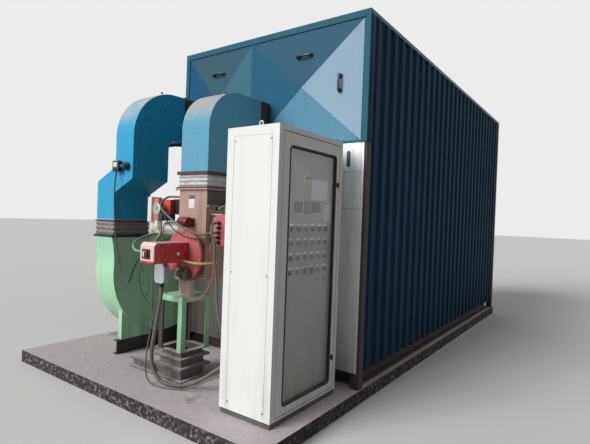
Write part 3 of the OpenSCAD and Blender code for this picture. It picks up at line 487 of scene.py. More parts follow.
def makeWoven():
    # plain weave: two crossed waves of the pitch, over and under in turn, with soft folds over them
    group, given, result = newGroup(
        "woven", [("Vector", "NodeSocketVector", None), ("Pitch", "NodeSocketFloat", 0.004)],
        [("Height", "NodeSocketFloat"), ("Folds", "NodeSocketFloat")])
    t = group
    split = t.nodes.new("ShaderNodeSeparateXYZ")
    t.links.new(given.outputs["Vector"], split.inputs[0])
    flat = mathNode(t, "ADD", split.outputs[0], split.outputs[1])
    rate = mathNode(t, "DIVIDE", 2 * math.pi, given.outputs["Pitch"])
    a = mathNode(t, "SINE", mathNode(t, "MULTIPLY", flat, rate))
    b = mathNode(t, "SINE", mathNode(t, "MULTIPLY", split.outputs[2], rate))
    folds = noise(t, given.outputs["Vector"], 16, 4, 0.6, stretch=(1, 1, 2.2))
    height = mathNode(t, "MULTIPLY_ADD", mathNode(t, "MULTIPLY", a, b), 0.1,
                      mathNode(t, "MULTIPLY", folds, 1.2))
    t.links.new(height, result.inputs["Height"])
    t.links.new(folds, result.inputs["Folds"])
    return group


agedPaint, rippled, woven = makeAgedPaint(), makeRippled(), makeWoven()


def rgb(r, g, b):  # screen colour, 0 to 255, to the shader's linear numbers
    c = np.array([r, g, b]) / 255
    return tuple(np.where(c <= 0.04045, c / 12.92, ((c + 0.055) / 1.055) ** 2.4).tolist())


def newMaterial(name):
    material = bpy.data.materials.new(name)
    material.use_nodes = True
    tree = material.node_tree
    shader = tree.nodes["Principled BSDF"]
    place = tree.nodes.new("ShaderNodeTexCoord").outputs["Object"]
    return material, tree, shader, place


def placeGroup(tree, group, **values):
    node = tree.nodes.new("ShaderNodeGroup")
    node.node_tree = group
    for key, value in values.items():
        key = key.replace("_", " ")
        if isinstance(value, bpy.types.NodeSocket):
            tree.links.new(value, node.inputs[key])
        else:
            node.inputs[key].default_value = value
    return node


def addBump(tree, shader, height, strength, distance):
    bump = tree.nodes.new("ShaderNodeBump")
    bump.inputs["Strength"].default_value = strength
    bump.inputs["Distance"].default_value = distance
    tree.links.new(height, bump.inputs["Height"])
    tree.links.new(bump.outputs["Normal"], shader.inputs["Normal"])
    return bump


def paint(name, colour, dirt=(40, 34, 30), dust=(150, 140, 128), cloud=0.1, runs=0.2, dustiness=0.3,
          chips=0.05, soil=0.3, scale=1.0, rough=0.45, metallic=0.0, bump=0.2, specular=0.35, finish=None,
          pitch=0.006, facets=False):
    # aged paint on a body of the given shine; colours as on the screen, the pitch of ribs or weave in metres
    material, tree, shader, place = newMaterial(name)
    aged = placeGroup(tree, agedPaint, Vector=place, Color=(*rgb(*colour), 1), Dirt_Color=(*rgb(*dirt), 1),
                      Dust_Color=(*rgb(*dust), 1), Cloud=cloud, Runs=runs, Dust=dustiness, Chips=chips,
                      Soil=soil,
                      Scale=scale, Roughness=rough)
    tone, height, depth = aged.outputs["Color"], aged.outputs["Height"], 0.002
    if facets:  # painted light and shade: a colour for each face, for the creased panels' facets and the galvanised sheets' tones by height
        facet = tree.nodes.new("ShaderNodeAttribute")
        facet.attribute_name = "facet"
        tree.links.new(facet.outputs["Color"], aged.inputs["Color"])
    if finish == "ribs":  # hose or conduit with rings along it
        along = tree.nodes.new("ShaderNodeAttribute")
        along.attribute_name = "along"
        rings = placeGroup(tree, rippled, Along=along.outputs["Fac"], Pitch=pitch)
        height = mathNode(tree, "MULTIPLY_ADD", rings.outputs["Height"], 1.5, height)
        # painted shade: the grooves between the rings go part way to the dirt colour
        tone = mixColour(tree, mathNode(tree, "MULTIPLY", rings.outputs["GrooveShade"], 0.45), tone, rgb(*dirt))
    elif finish == "weave":
        cloth = placeGroup(tree, woven, Vector=place, Pitch=pitch)
        height = mathNode(tree, "ADD", cloth.outputs["Height"], mathNode(tree, "MULTIPLY", height, 0.3))
        # painted shade: the hollows of the folds go half way to the dirt colour
        shade = mathNode(tree, "MULTIPLY", ramp(tree, cloth.outputs["Folds"], 0.5, 0.75), 0.5)
        tone = mixColour(tree, shade, tone, rgb(*dirt))
        depth = 0.012
    tree.links.new(tone, shader.inputs["Base Color"])
    tree.links.new(aged.outputs["Roughness"], shader.inputs["Roughness"])
    shader.inputs["Metallic"].default_value = metallic
    shader.inputs["Specular IOR Level"].default_value = specular
    addBump(tree, shader, height, bump, depth)
    return material


finishes = {
    "concrete": dict(colour=(58, 52, 54), dirt=(34, 30, 30), dust=(206, 196, 198), cloud=0.3, runs=0.3,
                     dustiness=2.4, chips=0.4, soil=0.15, rough=0.88, bump=0.7, specular=0.2),
    "dark_steel": dict(colour=(52, 48, 48), dirt=(66, 44, 34), dust=(104, 94, 88), cloud=0.35, runs=0.5,
                       dustiness=0.6, chips=0.4, soil=0.5, rough=0.65, bump=0.5),
    "casing_core": dict(colour=(46, 60, 70), dustiness=0.2),
    "ribbed_sheet": dict(colour=(36, 64, 86), dirt=(18, 26, 34), dust=(66, 84, 96), cloud=0.22, runs=0.4,
                         dustiness=0.1, chips=0.1, soil=0.7, rough=0.6, specular=0.06),
    "roof_sheet": dict(colour=(62, 104, 128), dustiness=0.85, dust=(116, 106, 98), cloud=0.3, runs=0.3),
    "front_blue": dict(colour=(54, 102, 120), dirt=(40, 70, 86), dust=(110, 128, 136), cloud=0.1, runs=0.2,
                       dustiness=0.12, chips=0.03, rough=0.62, specular=0.03, bump=0.12),
    # its colour comes face by face from the facet attribute: painted light and shade on the creased facets,
    # with a painted highlight
    "rightPanelBlue": dict(colour=(116, 152, 172), dirt=(52, 84, 104), dust=(150, 166, 172), cloud=0.08,
                           runs=0.18, dustiness=0.12, chips=0.03, rough=0.62, specular=0.03, bump=0.12,
                           facets=True),
    "galvanised": dict(colour=(204, 208, 210), dirt=(96, 97, 97), dust=(196, 198, 200), cloud=0.3, runs=0.75,
                       dustiness=0.25, chips=0.0, soil=0.9, rough=0.4, metallic=0.2),
    "primer_grey": dict(colour=(104, 96, 92), dirt=(60, 44, 38), cloud=0.3, runs=0.5, dustiness=0.3,
                        chips=0.3, soil=0.6, rough=0.7),
    "duct_blue": dict(colour=(28, 162, 206), dirt=(26, 84, 126), dust=(188, 186, 180), cloud=0.06, runs=0.14,
                      dustiness=0.95, chips=0.06, rough=0.4, specular=0.3),
    "duct_teal": dict(colour=(92, 162, 192), dirt=(54, 92, 114), dust=(176, 172, 166), cloud=0.09, runs=0.2,
                      dustiness=1.0, chips=0.08, rough=0.38, specular=0.3),
    "rust_brown": dict(colour=(94, 72, 66), dirt=(56, 38, 32), dust=(132, 118, 110), cloud=0.4, runs=0.5,
                       dustiness=0.4, chips=0.4, rough=0.75),
    "canvas_grey": dict(colour=(138, 134, 132), dirt=(74, 68, 66), dust=(176, 170, 164), cloud=0.3, runs=0.5,
                        dustiness=0.5, chips=0.0, rough=0.85, bump=0.55, finish="weave", pitch=0.005),
    "canvas_silver": dict(colour=(206, 206, 208), dirt=(118, 114, 110), dust=(214, 212, 208), cloud=0.25,
                          runs=0.35, dustiness=0.3, chips=0.0, rough=0.45, metallic=0.15, bump=0.5,
                          finish="weave", pitch=0.005),
    "fan_green": dict(colour=(176, 226, 190), dirt=(82, 112, 86), dust=(184, 208, 186), cloud=0.07, runs=0.16,
                      dustiness=0.4, chips=0.08, soil=0.5, rough=0.38, specular=0.35),
    "motor_grey": dict(colour=(98, 100, 103), cloud=0.2, runs=0.3, dustiness=0.7, rough=0.5, bump=0.4),
    "device_blue": dict(colour=(30, 40, 66), dirt=(60, 60, 66), cloud=0.15, dustiness=0.35, rough=0.4),
    "copper_primer": dict(colour=(176, 144, 133), dirt=(112, 80, 68), dust=(196, 182, 174), cloud=0.32,
                          runs=0.6, dustiness=0.4, chips=0.25, rough=0.42, metallic=0.12),
    "faded_red": dict(colour=(186, 92, 96), dirt=(112, 50, 50), dust=(206, 166, 160), cloud=0.12, runs=0.25,
                      dustiness=0.5, chips=0.14, rough=0.42),
    "burner_red": dict(colour=(200, 44, 46), dirt=(82, 24, 24), dust=(208, 172, 164), cloud=0.1, runs=0.15,
                       dustiness=0.95, chips=0.1, rough=0.3, specular=0.5),
    "light_grey": dict(colour=(186, 194, 202), dirt=(96, 92, 88), cloud=0.12, runs=0.25, dustiness=0.4,
                       chips=0.12, rough=0.42),
    "stand_green": dict(colour=(158, 206, 170), dirt=(62, 72, 58), dust=(170, 172, 160), cloud=0.14,
                        runs=0.35, dustiness=0.4, chips=0.3, soil=0.8, rough=0.45),
    "cabinet_white": dict(colour=(236, 237, 234), dirt=(164, 158, 148), dust=(208, 204, 196), cloud=0.025,
                          runs=0.1, dustiness=0.2, chips=0.02, soil=0.25, rough=0.42, bump=0.12),
    "black_plastic": dict(colour=(26, 27, 30), dirt=(50, 48, 46), cloud=0.1, runs=0.0, dustiness=0.25,
                          chips=0.0, rough=0.4),
    "cable_grey": dict(colour=(116, 114, 108), dirt=(56, 54, 50), dust=(150, 146, 138), cloud=0.15, runs=0.3,
                       dustiness=0.4, chips=0.0, rough=0.58, bump=0.5, finish="ribs", pitch=0.007),
    "cable_black": dict(colour=(26, 27, 30), cloud=0.1, runs=0.0, dustiness=0.3, chips=0.0, rough=0.42),
    "cable_red": dict(colour=(190, 92, 98), cloud=0.12, runs=0.15, dustiness=0.4, chips=0.0, rough=0.5),
    "hose_yellow": dict(colour=(214, 200, 96), dirt=(120, 110, 60), dust=(226, 216, 150), cloud=0.14,
                        runs=0.25, dustiness=0.35, chips=0.0, rough=0.45, bump=0.3, finish="ribs",
                        pitch=0.012),
    "conduit_grey": dict(colour=(150, 158, 150), dirt=(84, 86, 78), dust=(176, 178, 168), cloud=0.15,
                         runs=0.3, dustiness=0.4, chips=0.0, rough=0.42, metallic=0.35, bump=0.6,
                         finish="ribs", pitch=0.006),
    # finishes of small parts that have no slot of their own
    # its colour comes face by face from the facet attribute: painted light and shade on the creased facets
    "leftPanelBlue": dict(colour=(74, 118, 139), dirt=(36, 66, 86), dust=(104, 124, 134), cloud=0.12,
                          runs=0.2, dustiness=0.12, chips=0.03, rough=0.62, specular=0.03, bump=0.12,
                          facets=True),
    "beamSteel": dict(colour=(64, 58, 58), dirt=(42, 34, 32), dust=(128, 118, 114), cloud=0.3, runs=0.5,
                      dustiness=0.7, chips=0.4, soil=0.4, rough=0.6, bump=0.5),
    # dust and painted highlight: the heavy pale dust on upward faces also lights the flanges' top edges
    "beamGreyLitDust": dict(colour=(100, 92, 92), dirt=(58, 48, 44), dust=(192, 184, 182), cloud=0.3, runs=0.4,
                     dustiness=1.1, chips=0.4, soil=0.3, rough=0.6, bump=0.5),
    "wallSteel": dict(colour=(88, 86, 80), dirt=(48, 44, 40), dust=(120, 114, 108), cloud=0.25, runs=0.5,
                      dustiness=0.4, chips=0.3, soil=0.6, rough=0.6, bump=0.4),
    "boxFront": dict(colour=(232, 200, 194), dirt=(150, 96, 90), dust=(232, 214, 206), cloud=0.08, runs=0.25,
                     dustiness=0.4, chips=0.1, rough=0.4),
    "valvePink": dict(colour=(204, 120, 120), dirt=(124, 56, 56), dust=(220, 180, 172), cloud=0.12, runs=0.3,
                      dustiness=0.5, chips=0.1, rough=0.4),
    "meterGrey": dict(colour=(84, 88, 88), cloud=0.1, dustiness=0.15, rough=0.3),
    "paperBlue": dict(colour=(168, 184, 200), dirt=(130, 138, 150), cloud=0.05, runs=0.15, dustiness=0.1,
                      chips=0.0, rough=0.8),
    "blackRubber": dict(colour=(22, 23, 24), dirt=(54, 52, 50), cloud=0.15, runs=0.0, dustiness=0.3,
                        chips=0.0, rough=0.7),
    "bronze": dict(colour=(150, 132, 96), dirt=(70, 58, 44), dust=(176, 166, 142), cloud=0.25, runs=0.3,
                   dustiness=0.3, chips=0.1, rough=0.4, metallic=0.75),
    "chrome": dict(colour=(196, 196, 196), dirt=(90, 88, 86), cloud=0.08, runs=0.1, dustiness=0.15, chips=0.0,
                   rough=0.2, metallic=1.0),
    "zincBolt": dict(colour=(150, 150, 146), dirt=(82, 66, 54), cloud=0.25, runs=0.3, dustiness=0.3,
                     chips=0.2, rough=0.42, metallic=0.7),
    "silverCast": dict(colour=(190, 190, 188), dirt=(104, 100, 96), cloud=0.15, runs=0.3, dustiness=0.3,
                       chips=0.0, rough=0.36, metallic=0.6, bump=0.35),
    "valveRed": dict(colour=(206, 66, 58), dirt=(104, 36, 34), dust=(220, 150, 140), cloud=0.12, runs=0.25,
                     dustiness=0.4, chips=0.08, rough=0.36, specular=0.5),
    "motorRed": dict(colour=(104, 20, 30), dirt=(58, 22, 24), dust=(160, 110, 108), cloud=0.15, runs=0.2,
                     dustiness=0.35, chips=0.1, rough=0.4),
    "plateWhite": dict(colour=(226, 224, 216), dirt=(150, 140, 124), cloud=0.08, runs=0.3, dustiness=0.3,
                       chips=0.05, rough=0.45),
    "beigeCase": dict(colour=(226, 222, 200), dirt=(120, 104, 78), cloud=0.1, runs=0.25, dustiness=0.3,
                      chips=0.05, rough=0.5),
    "greenLens": dict(colour=(40, 74, 58), cloud=0.1, dustiness=0.1, rough=0.2),
    "redLens": dict(colour=(140, 26, 24), cloud=0.1, dustiness=0.1, rough=0.2),
    "yellowPlate": dict(colour=(222, 184, 44), cloud=0.08, dustiness=0.15, rough=0.35),
    "paper": dict(colour=(196, 194, 200), dirt=(150, 146, 150), cloud=0.05, runs=0.15, dustiness=0.1,
                  chips=0.0, rough=0.8),
    "dialGlass": dict(colour=(172, 182, 172), dirt=(110, 116, 108), cloud=0.1, runs=0.1, dustiness=0.2,
                      rough=0.12),
    # its colour comes face by face from the facet attribute: painted shade, darker towards the ground
    "sheetTones": dict(colour=(204, 208, 210), dirt=(92, 93, 93), dust=(216, 218, 220), cloud=0.22, runs=0.4,
                       dustiness=0.2, chips=0.0, soil=0.4, rough=0.4, metallic=0.1, facets=True),
    "edgeZinc": dict(colour=(224, 228, 230), dirt=(120, 122, 122), cloud=0.15, runs=0.4, dustiness=0.1,
                     chips=0.0, rough=0.4, metallic=0.1),
    "handleBlue": dict(colour=(72, 100, 122), cloud=0.1, dustiness=0.1, chips=0.0, rough=0.5),
    "collarGrey": dict(colour=(56, 52, 62), dirt=(34, 30, 34), cloud=0.25, runs=0.3, dustiness=0.3, chips=0.2,
                       rough=0.6),
    "collarNavy": dict(colour=(34, 38, 48), dirt=(24, 24, 28), cloud=0.2, runs=0.3, dustiness=0.3, chips=0.1,
                       rough=0.6),
    "sealLight": dict(colour=(190, 190, 185), dirt=(110, 106, 100), cloud=0.15, runs=0.3, chips=0.1,
                      rough=0.6),
    "darkBronze": dict(colour=(84, 74, 58), dirt=(44, 38, 30), dust=(120, 110, 92), cloud=0.25, runs=0.3,
                       dustiness=0.3, chips=0.1, rough=0.4, metallic=0.3),
    "paleBronze": dict(colour=(196, 186, 156), dirt=(100, 88, 68), cloud=0.2, runs=0.3, dustiness=0.3,
                       chips=0.1, rough=0.4, metallic=0.3),
    "potCast": dict(colour=(196, 190, 180), dirt=(110, 102, 92), cloud=0.2, runs=0.35, dustiness=0.3,
                    chips=0.05, rough=0.45, metallic=0.1),
    "baseGrey": dict(colour=(92, 96, 92), dirt=(56, 56, 52), cloud=0.15, runs=0.3, dustiness=0.3, rough=0.5),
    "pipeZinc": dict(colour=(150, 146, 138), dirt=(84, 76, 68), cloud=0.2, runs=0.3, dustiness=0.3, rough=0.4,
                     metallic=0.4),
    "glossBlack": dict(colour=(16, 17, 20), dirt=(40, 40, 42), cloud=0.1, runs=0.0, dustiness=0.2, chips=0.0,
                       rough=0.22, specular=0.6),
    "boilerPlate": dict(colour=(138, 140, 134), dirt=(96, 92, 86), dust=(136, 132, 124), cloud=0.12, runs=0.3,
                        dustiness=0.1, soil=0.9, rough=0.5),
}
slotFinish = {"device_plate": "boilerPlate"}
materials = {name: paint(name, **v) for name, v in finishes.items()}


glassValues = {"tint": (0.9, 0.92, 0.9), "ior": 1.45, "haze": 0.012, "specular": 0.12, "alpha": 0.16}


def makeGlass(v):
    material, tree, shader, place = newMaterial("doorGlass")
    shader.inputs["Base Color"].default_value = (*v["tint"], 1)
    shader.inputs["Transmission Weight"].default_value = 1.0
    shader.inputs["Metallic"].default_value = 0.0
    shader.inputs["IOR"].default_value = v["ior"]
    haze = ramp(tree, noise(tree, place, 3, 4, 0.6), 0.3, 0.8)
    tree.links.new(mathNode(tree, "MULTIPLY", haze, v["haze"]), shader.inputs["Roughness"])
    shader.inputs["Specular IOR Level"].default_value = v["specular"]
    shader.inputs["Alpha"].default_value = v["alpha"]
    return material


materials["door_glass"] = makeGlass(glassValues)
slotOf = {p["node"]: p["material_slot"] for p in frame["record"]["subparts"]}
for name, node in nodes.items():
    node.data.materials.clear()
    node.data.materials.append(materials[slotFinish.get(name, slotOf[name])])
facetLightTones = {  # painted light and shade: screen colours of the facets that lean up, down, left and right, then of the flat rim; the right panel's right-leaning facets hold a painted highlight
    "left": ((62, 96, 112), (58, 111, 140), (40, 88, 124), (72, 115, 137), (60, 100, 120)),
    "right": ((60, 98, 121), (98, 146, 172), (46, 96, 124), (146, 174, 194), (70, 112, 134)),
}


def facingOf(mesh):
    # the normals of the faces, one row each
    facing = np.zeros(len(mesh.polygons) * 3)
    mesh.polygons.foreach_get("normal", facing)
    return facing.reshape(-1, 3)


def storeFacets(mesh, tones):
    # painted light and shade: one linear colour a face, read back by the materials that have facets
    facets = mesh.attributes.new("facet", "FLOAT_VECTOR", "FACE")
    facets.data.foreach_set("vector", tones.astype(np.float32).ravel())


def paintFacetLight(side, tones):
    # painted light and shade by facet: a face that leans more up or down than sideways takes the up or down
    # tone, else the left or right one;
    # a face that doesn't lean, or doesn't look forwards, takes the rim's
    leanUp, leanDown, leanLeft, leanRight, rim = (np.array(rgb(*tone)) for tone in tones)
    mesh = nodes[f"front_panel_{side}"].data
    mesh.materials[0] = materials[f"{side}PanelBlue"]
    nx, ny, nz = facingOf(mesh).T[:, :, None]
    tone = np.where(abs(nz) > abs(nx), np.where(nz > 0, leanUp, leanDown),
                    np.where(nx > 0, leanRight, leanLeft))
    storeFacets(mesh, np.where((ny < -0.5) & (abs(nx) + abs(nz) > 0.01), tone, rim))


for panelSide, panelTones in facetLightTones.items():
    paintFacetLight(panelSide, panelTones)
for name, finish in (("beam_stack", "beamGreyLitDust"), ("lower_front_wall", "wallSteel"),
                     ("cold_air_collar", "collarNavy"), ("hot_air_collar", "collarGrey"),
                     ("cabinet_base", "baseGrey")):
    nodes[name].data.materials[0] = materials[finish]
for cable, cableNode in cables.values():
    put(cable, "plant", slotOf[cableNode], materials[slotOf[cableNode]], cableNode)
put(gasPipe, "plant", slotOf["windbox"], materials["pipeZinc"])
print("materials made")


def fit(piece, node, finish=None, body="plant", replace=False):
    # a piece takes its finish from the slot of the node it belongs to, unless one is named
    return put(piece, body, slotOf[node], materials[finish or slotOf[node]], *([node] if replace else []))


panelValues = {
    "left": (-2142, -1270), "right": (-1240, -58),  # side edges
    "bottom": 2044, "top": 3036, "face": -10, "peak": 26,
    "seal": 7, "sealDepth": -3.5, "sealRound": 6,
    "screws": 7, "screwInset": (30, 14), "screw": (5, 5),
    # side, middle across and up, length, and whether it stands upright
    "handles": [("left", -1694, 2816, 160, False), ("right", -630, 2816, 164, False),
                ("right", -262, 2530, 150, True)],
    "handleReach": 33, "handleRadius": 11, "footInset": 14, "shoulder": 4.2,
    "foot": [(0, -3), (20, -3), (20, 9), (16, 12), (11, 14), (0, 14)],
}


def panelFace(v, side, x, z):
    # how far the creased sheet stands out: the peak times the smaller of the two tent heights across and up
    x0, x1 = v[side]
    xm, zm = (x0 + x1) / 2, (v["bottom"] + v["top"]) / 2
    tent = np.minimum(1 - abs(x - xm) / ((x1 - x0) / 2), 1 - abs(z - zm) / ((v["top"] - v["bottom"]) / 2))
    return v["face"] - v["peak"] * np.clip(tent, 0, 1)


def handleRoute(a, b, along, out, shoulder):
    # out of one foot, over a shoulder pushed outwards along the grip, across at full reach, and back into
    # the other
    c, d = a - shoulder * along, b + shoulder * along
    stops = [a, a + 0.35 * out, c + 0.8 * out, a * 0.7 + b * 0.3 + out]
    stops += [a * 0.3 + b * 0.7 + out, d + 0.8 * out, b + 0.35 * out, b]
    return smoothRoute(stops, 6)


def dressPanels(v):
    for side in ("left", "right"):
        x0, x1 = v[side]
        node = f"front_panel_{side}"
        loop = roundedLoop((x0 - 4, v["bottom"] - 5), (x1 + 4, v["top"] + 4), v["sealRound"], 4)
        path = np.stack([loop[:, 0], np.full(len(loop), v["sealDepth"]), loop[:, 1]], -1)
        s = v["seal"] / 2
        # black rubber seal round each panel, which also stands in for the painted shadow in the gap between
        # trim and panel
        fit(swept(f"{side}PanelSealShade", [(-s, -s), (s, -s), (s, s), (-s, s)], path, (0, 1, 0)), node,
            "blackRubber")
        dx, dz = v["screwInset"]
        x, z = np.meshgrid(np.linspace(x0 + dx, x1 - dx, v["screws"]), [v["bottom"] + dz, v["top"] - dz])
        screws = np.stack([x, panelFace(v, side, x, z) + 0.5, z], -1).reshape(-1, 3)
        fit(turned(f"{side}PanelScrews", boltProfile(*v["screw"]), screws, (0, -1, 0), 6), node, "front_blue")
    out = np.array([0, -1.0, 0])
    for k, (side, x, z, length, upright) in enumerate(v["handles"]):
        along = np.array([0, 0, 1.0]) if upright else np.array([1.0, 0, 0])
        half = length / 2 - v["footInset"]
        foot = np.array([x, 0, z]) + np.outer([-half, half], along)
        foot[:, 1] = panelFace(v, side, foot[:, 0], foot[:, 2])
        line = site(handleRoute(*foot, along, v["handleReach"] * out, v["shoulder"]))
        up = (1, 0.1, 0.2) if upright else (0.2, 0.1, 1)
        grip = tube(f"panelHandle{k + 1}", line, v["handleRadius"] / 1000, 12, up=up)
        fit(grip, "panel_handles", "glossBlack", replace=k == 0)
        fit(turned(f"panelHandleFeet{k + 1}", v["foot"], foot, out, 24), "panel_handles", "glossBlack")


dressPanels(panelValues)
print("front panels dressed")

sheetValues = {
    # left, right, bottom, top and how far each stands off the wall
    "sheets": [(-640, -45, 1786, 2024.7, 8), (-640, -45, 1482, 1784, 5),
               (-640, -45, 502, 1480, 7), (-640, -45, 132, 500, 4)],
    "crease": 7, "grid": 25, "edge": ((-46, -7, 132), (-23, 0.5, 2024)),
    "cornerCover": ((-77, 1, 2026), (1.5, 76, 3058)),  # above the sheets the corner is dark blue
    "handle": (-161.5, 1892, 127), "handleHalf": 13, "handleOut": -12,
    # painted shade by height and screen colour: the sheets darken towards the ground and are lightest from
    # 1800 up
    "heightShade": [(130, (196, 198, 198)), (700, (222, 226, 226)), (1482, (232, 236, 236)),
              (1780, (232, 236, 238)), (1800, (242, 246, 250))],
    "rivetInset": 8, "rivet": [(0, 0), (5, 0), (4.2, 1.6), (2.4, 2.4), (0, 2.7)],
}


def creasedSheets(v):
    # each sheet is a grid over its rectangle: flat rim, then a shallow cross-broken peak that rises with the
    # distance to the nearest edge, with its outermost row back at the wall
    points, faces = [], []
    n = v["grid"]
    for x0, x1, z0, z1, thick in v["sheets"]:
        u = np.concatenate([[0, 0], np.linspace(0, 1, n - 4), [1, 1]])
        x, z = np.meshgrid(x0 + u * (x1 - x0), z0 + u * (z1 - z0), indexing="ij")
        inset = np.minimum(np.minimum(x - x0, x1 - x) / (x1 - x0), np.minimum(z - z0, z1 - z) / (z1 - z0)) * 2
        y = -thick - v["crease"] * np.clip(inset - 0.04, 0, 1)
        y[[0, -1], :] = 0
        y[:, [0, -1]] = 0
        faces.append(gridFaces(n, n, first=len(points) * n * n))
        points.append(np.stack([x, y, z], -1).reshape(-1, 3))
    sheet = newPiece("galvanisedSheets", site(np.concatenate(points)), np.concatenate(faces), smooth=False)
    if facingOf(sheet.data)[:, 1].mean() > 0:
        sheet.data.flip_normals()
    return sheet


def shadeSheetsByHeight(mesh, heightShade):
    # painted shade: each face takes the colour between the two nearest listed heights, in proportion to its
    # own height
    middle = np.zeros(len(mesh.polygons) * 3)
    mesh.polygons.foreach_get("center", middle)
    height = (middle[2::3] - siteShift[2]) * 1000
    steps = [z for z, tone in heightShade]
    tones = np.array([rgb(*tone) for z, tone in heightShade])
    storeFacets(mesh, np.stack([np.interp(height, steps, tones[:, k]) for k in range(3)], -1))


def dressSheets(v):
    sheet = creasedSheets(v)
    shadeSheetsByHeight(sheet.data, v["heightShade"])
    fit(sheet, "lower_front_panels", "sheetTones", replace=True)
    fit(roundedBoxes("sheetEdgeStrip", [v["edge"]], 1.5, 2), "lower_front_panels", "edgeZinc")
    fit(roundedBoxes("cornerCover", [v["cornerCover"]], 1, 2), "corner_posts", "ribbed_sheet")
    x, z, length = v["handle"]
    s, out = v["handleHalf"], v["handleOut"]
    loop = roundedLoop((x - s, z - length / 2), (x + s, z + length / 2), s - 1, 6)
    path = np.stack([loop[:, 0], np.full(len(loop), float(out)), loop[:, 1]], -1)
    rim = swept("slotHandleRim", [(-2.5, -4), (2.5, -4), (2.5, 4), (-2.5, 4)], path, (0, 1, 0))
    fit(rim, "lower_front_panels", "blackRubber")
    cup = [((x - s + 1, out - 2, z - length / 2 + 2), (x + s - 1, out + 3, z + length / 2 - 2))]
    fit(roundedBoxes("slotHandleCup", cup, 2), "lower_front_panels", "handleBlue")
    m = v["rivetInset"]
    rivets = [(x0 + m + (x1 - x0 - 2 * m) * a, -thick - 0.5, z0 + m + (z1 - z0 - 2 * m) * b)
              for x0, x1, z0, z1, thick in v["sheets"] for a in (0, 0.25, 0.5, 0.75, 1) for b in (0, 1)]
    fit(turned("sheetRivets", v["rivet"], rivets, (0, -1, 0), 10), "lower_front_panels", "zincBolt")


dressSheets(sheetValues)
print("galvanised sheets dressed")

ductValues = {
    "depth": 400, "leg": 455, "innerBend": 60,
    "cold": {"left": -2247, "right": -1972, "front": -800, "top": 2565, "foot": 1812, "end": -214,
             "bend": 460, "plug": (-1992, -487, 2551), "seam": 2},
    "coldLow": [(-2247, 1813), (-2540, 1679), (-2540, 1310), (-2238, 1310), (-2238, 1570), (-1972, 1697),
                (-1972, 1813)],
    "hot": {"left": -1335, "right": -1011, "front": -776, "top": 2440, "foot": 1738, "end": -147, "bend": 350,
            "plug": (-1032, -580, 2406), "seam": 6},
    "coldLip": 3, "coldEndLip": (12, 14, 14, 12),  # beyond the left, right, bottom and top
    "hotLip": 22, "hotEndLip": 2, "hotBoltLip": 13,
    "bolt": (5, 8), "plug": [(0, -3), (12, -3), (12, 3), (8, 4), (8, 13), (5, 16), (0, 16)],
}


def elbowOutline(v, d):
    # up the front, round a quarter circle to the top, back to the casing, then down the inner side of the
    # bend
    y0, top, inside, bend = d["front"], d["top"], v["innerBend"], d["bend"]
    outer = np.radians(np.linspace(90, 180, 31))
    inner = np.radians(np.linspace(0, 90, 13))[1:-1]
    y1, low = y0 + v["depth"], top - v["leg"] - inside
    return np.concatenate([
        [(y0, d["foot"]), (y1, d["foot"]), (y1, low)],
        np.stack([y1 + inside - inside * np.cos(inner), low + inside * np.sin(inner)], -1),
        [(y1 + inside, top - v["leg"]), (d["end"], top - v["leg"]), (d["end"], top)],
        np.stack([y0 + bend + bend * np.cos(outer), top - bend + bend * np.sin(outer)], -1)])


def flangeRing(name, low, high):
    return softened(roundedBoxes(name, [(low, high)], 2, arc=2), 1, 1)


def rimBolts(x0, x1, y0, y1, z, spacing=75):
    # places evenly along the four sides of a rectangle
    nx, ny = max(2, round((x1 - x0) / spacing)), max(2, round((y1 - y0) / spacing))
    xs, ys = np.linspace(x0, x1, nx + 1), np.linspace(y0, y1, ny + 1)
    return [(x, y, z) for x in xs for y in (y0, y1)] + [(x, y, z) for y in ys[1:-1] for x in (x0, x1)]


def dressColdDuct(v, d):
    left, right, front, back = d["left"], d["right"], d["front"], d["front"] + v["depth"]
    fit(softened(prism("coldDuctBend", elbowOutline(v, d), left, right, "X", 30), 3), "cold_air_duct",
        replace=True)
    fit(softened(prism("coldDuctOffset", v["coldLow"], front - 0.6, back, "Y"), 3), "cold_air_duct")
    x0, (x1, foot), lip = v["coldLow"][1][0], v["coldLow"][3], v["coldLip"]
    rim = flangeRing("coldDuctFlange", (x0 - lip, front - lip, foot - 8), (x1 + lip, back + lip, foot))
    fit(rim, "cold_air_duct", "sealLight")
    beyondLeft, beyondRight, below, above = v["coldEndLip"]
    rim = flangeRing("coldDuctEndFlange", (left - beyondLeft, d["end"], d["top"] - v["leg"] - below),
                     (right + beyondRight, d["end"] + 10, d["top"] + above))
    fit(rim, "cold_air_duct", "collarNavy")


def dressHotDuct(v, d):
    left, right, front, back = d["left"], d["right"], d["front"], d["front"] + v["depth"]
    end, foot, under, top = d["end"], d["foot"], d["top"] - v["leg"], d["top"]
    fit(softened(prism("hotDuctBend", elbowOutline(v, d), left, right, "X", 30), 3), "hot_air_duct",
        replace=True)
    lip = v["hotLip"]
    rim = flangeRing("hotDuctFlange", (left - lip, front - lip, foot - 12), (right + lip, back + lip, foot))
    fit(rim, "hot_air_duct", "rust_brown")
    lip = v["hotEndLip"]
    rim = flangeRing("hotDuctEndFlange", (left - lip, end, under - lip), (right + lip, end + 12, top + lip))
    fit(rim, "hot_air_duct", "collarGrey")
    collar = flangeRing("hotCollarBox", (left, end + 8, under), (right, 0, top))
    fit(collar, "hot_air_collar", "collarGrey", replace=True)
    lip = v["hotBoltLip"]
    places = rimBolts(left - lip, right + lip, front - lip, back + lip, foot)
    fit(turned("ductFlangeBolts", boltProfile(*v["bolt"]), places, (0, 0, 1), 6), "hot_air_duct", "zincBolt")


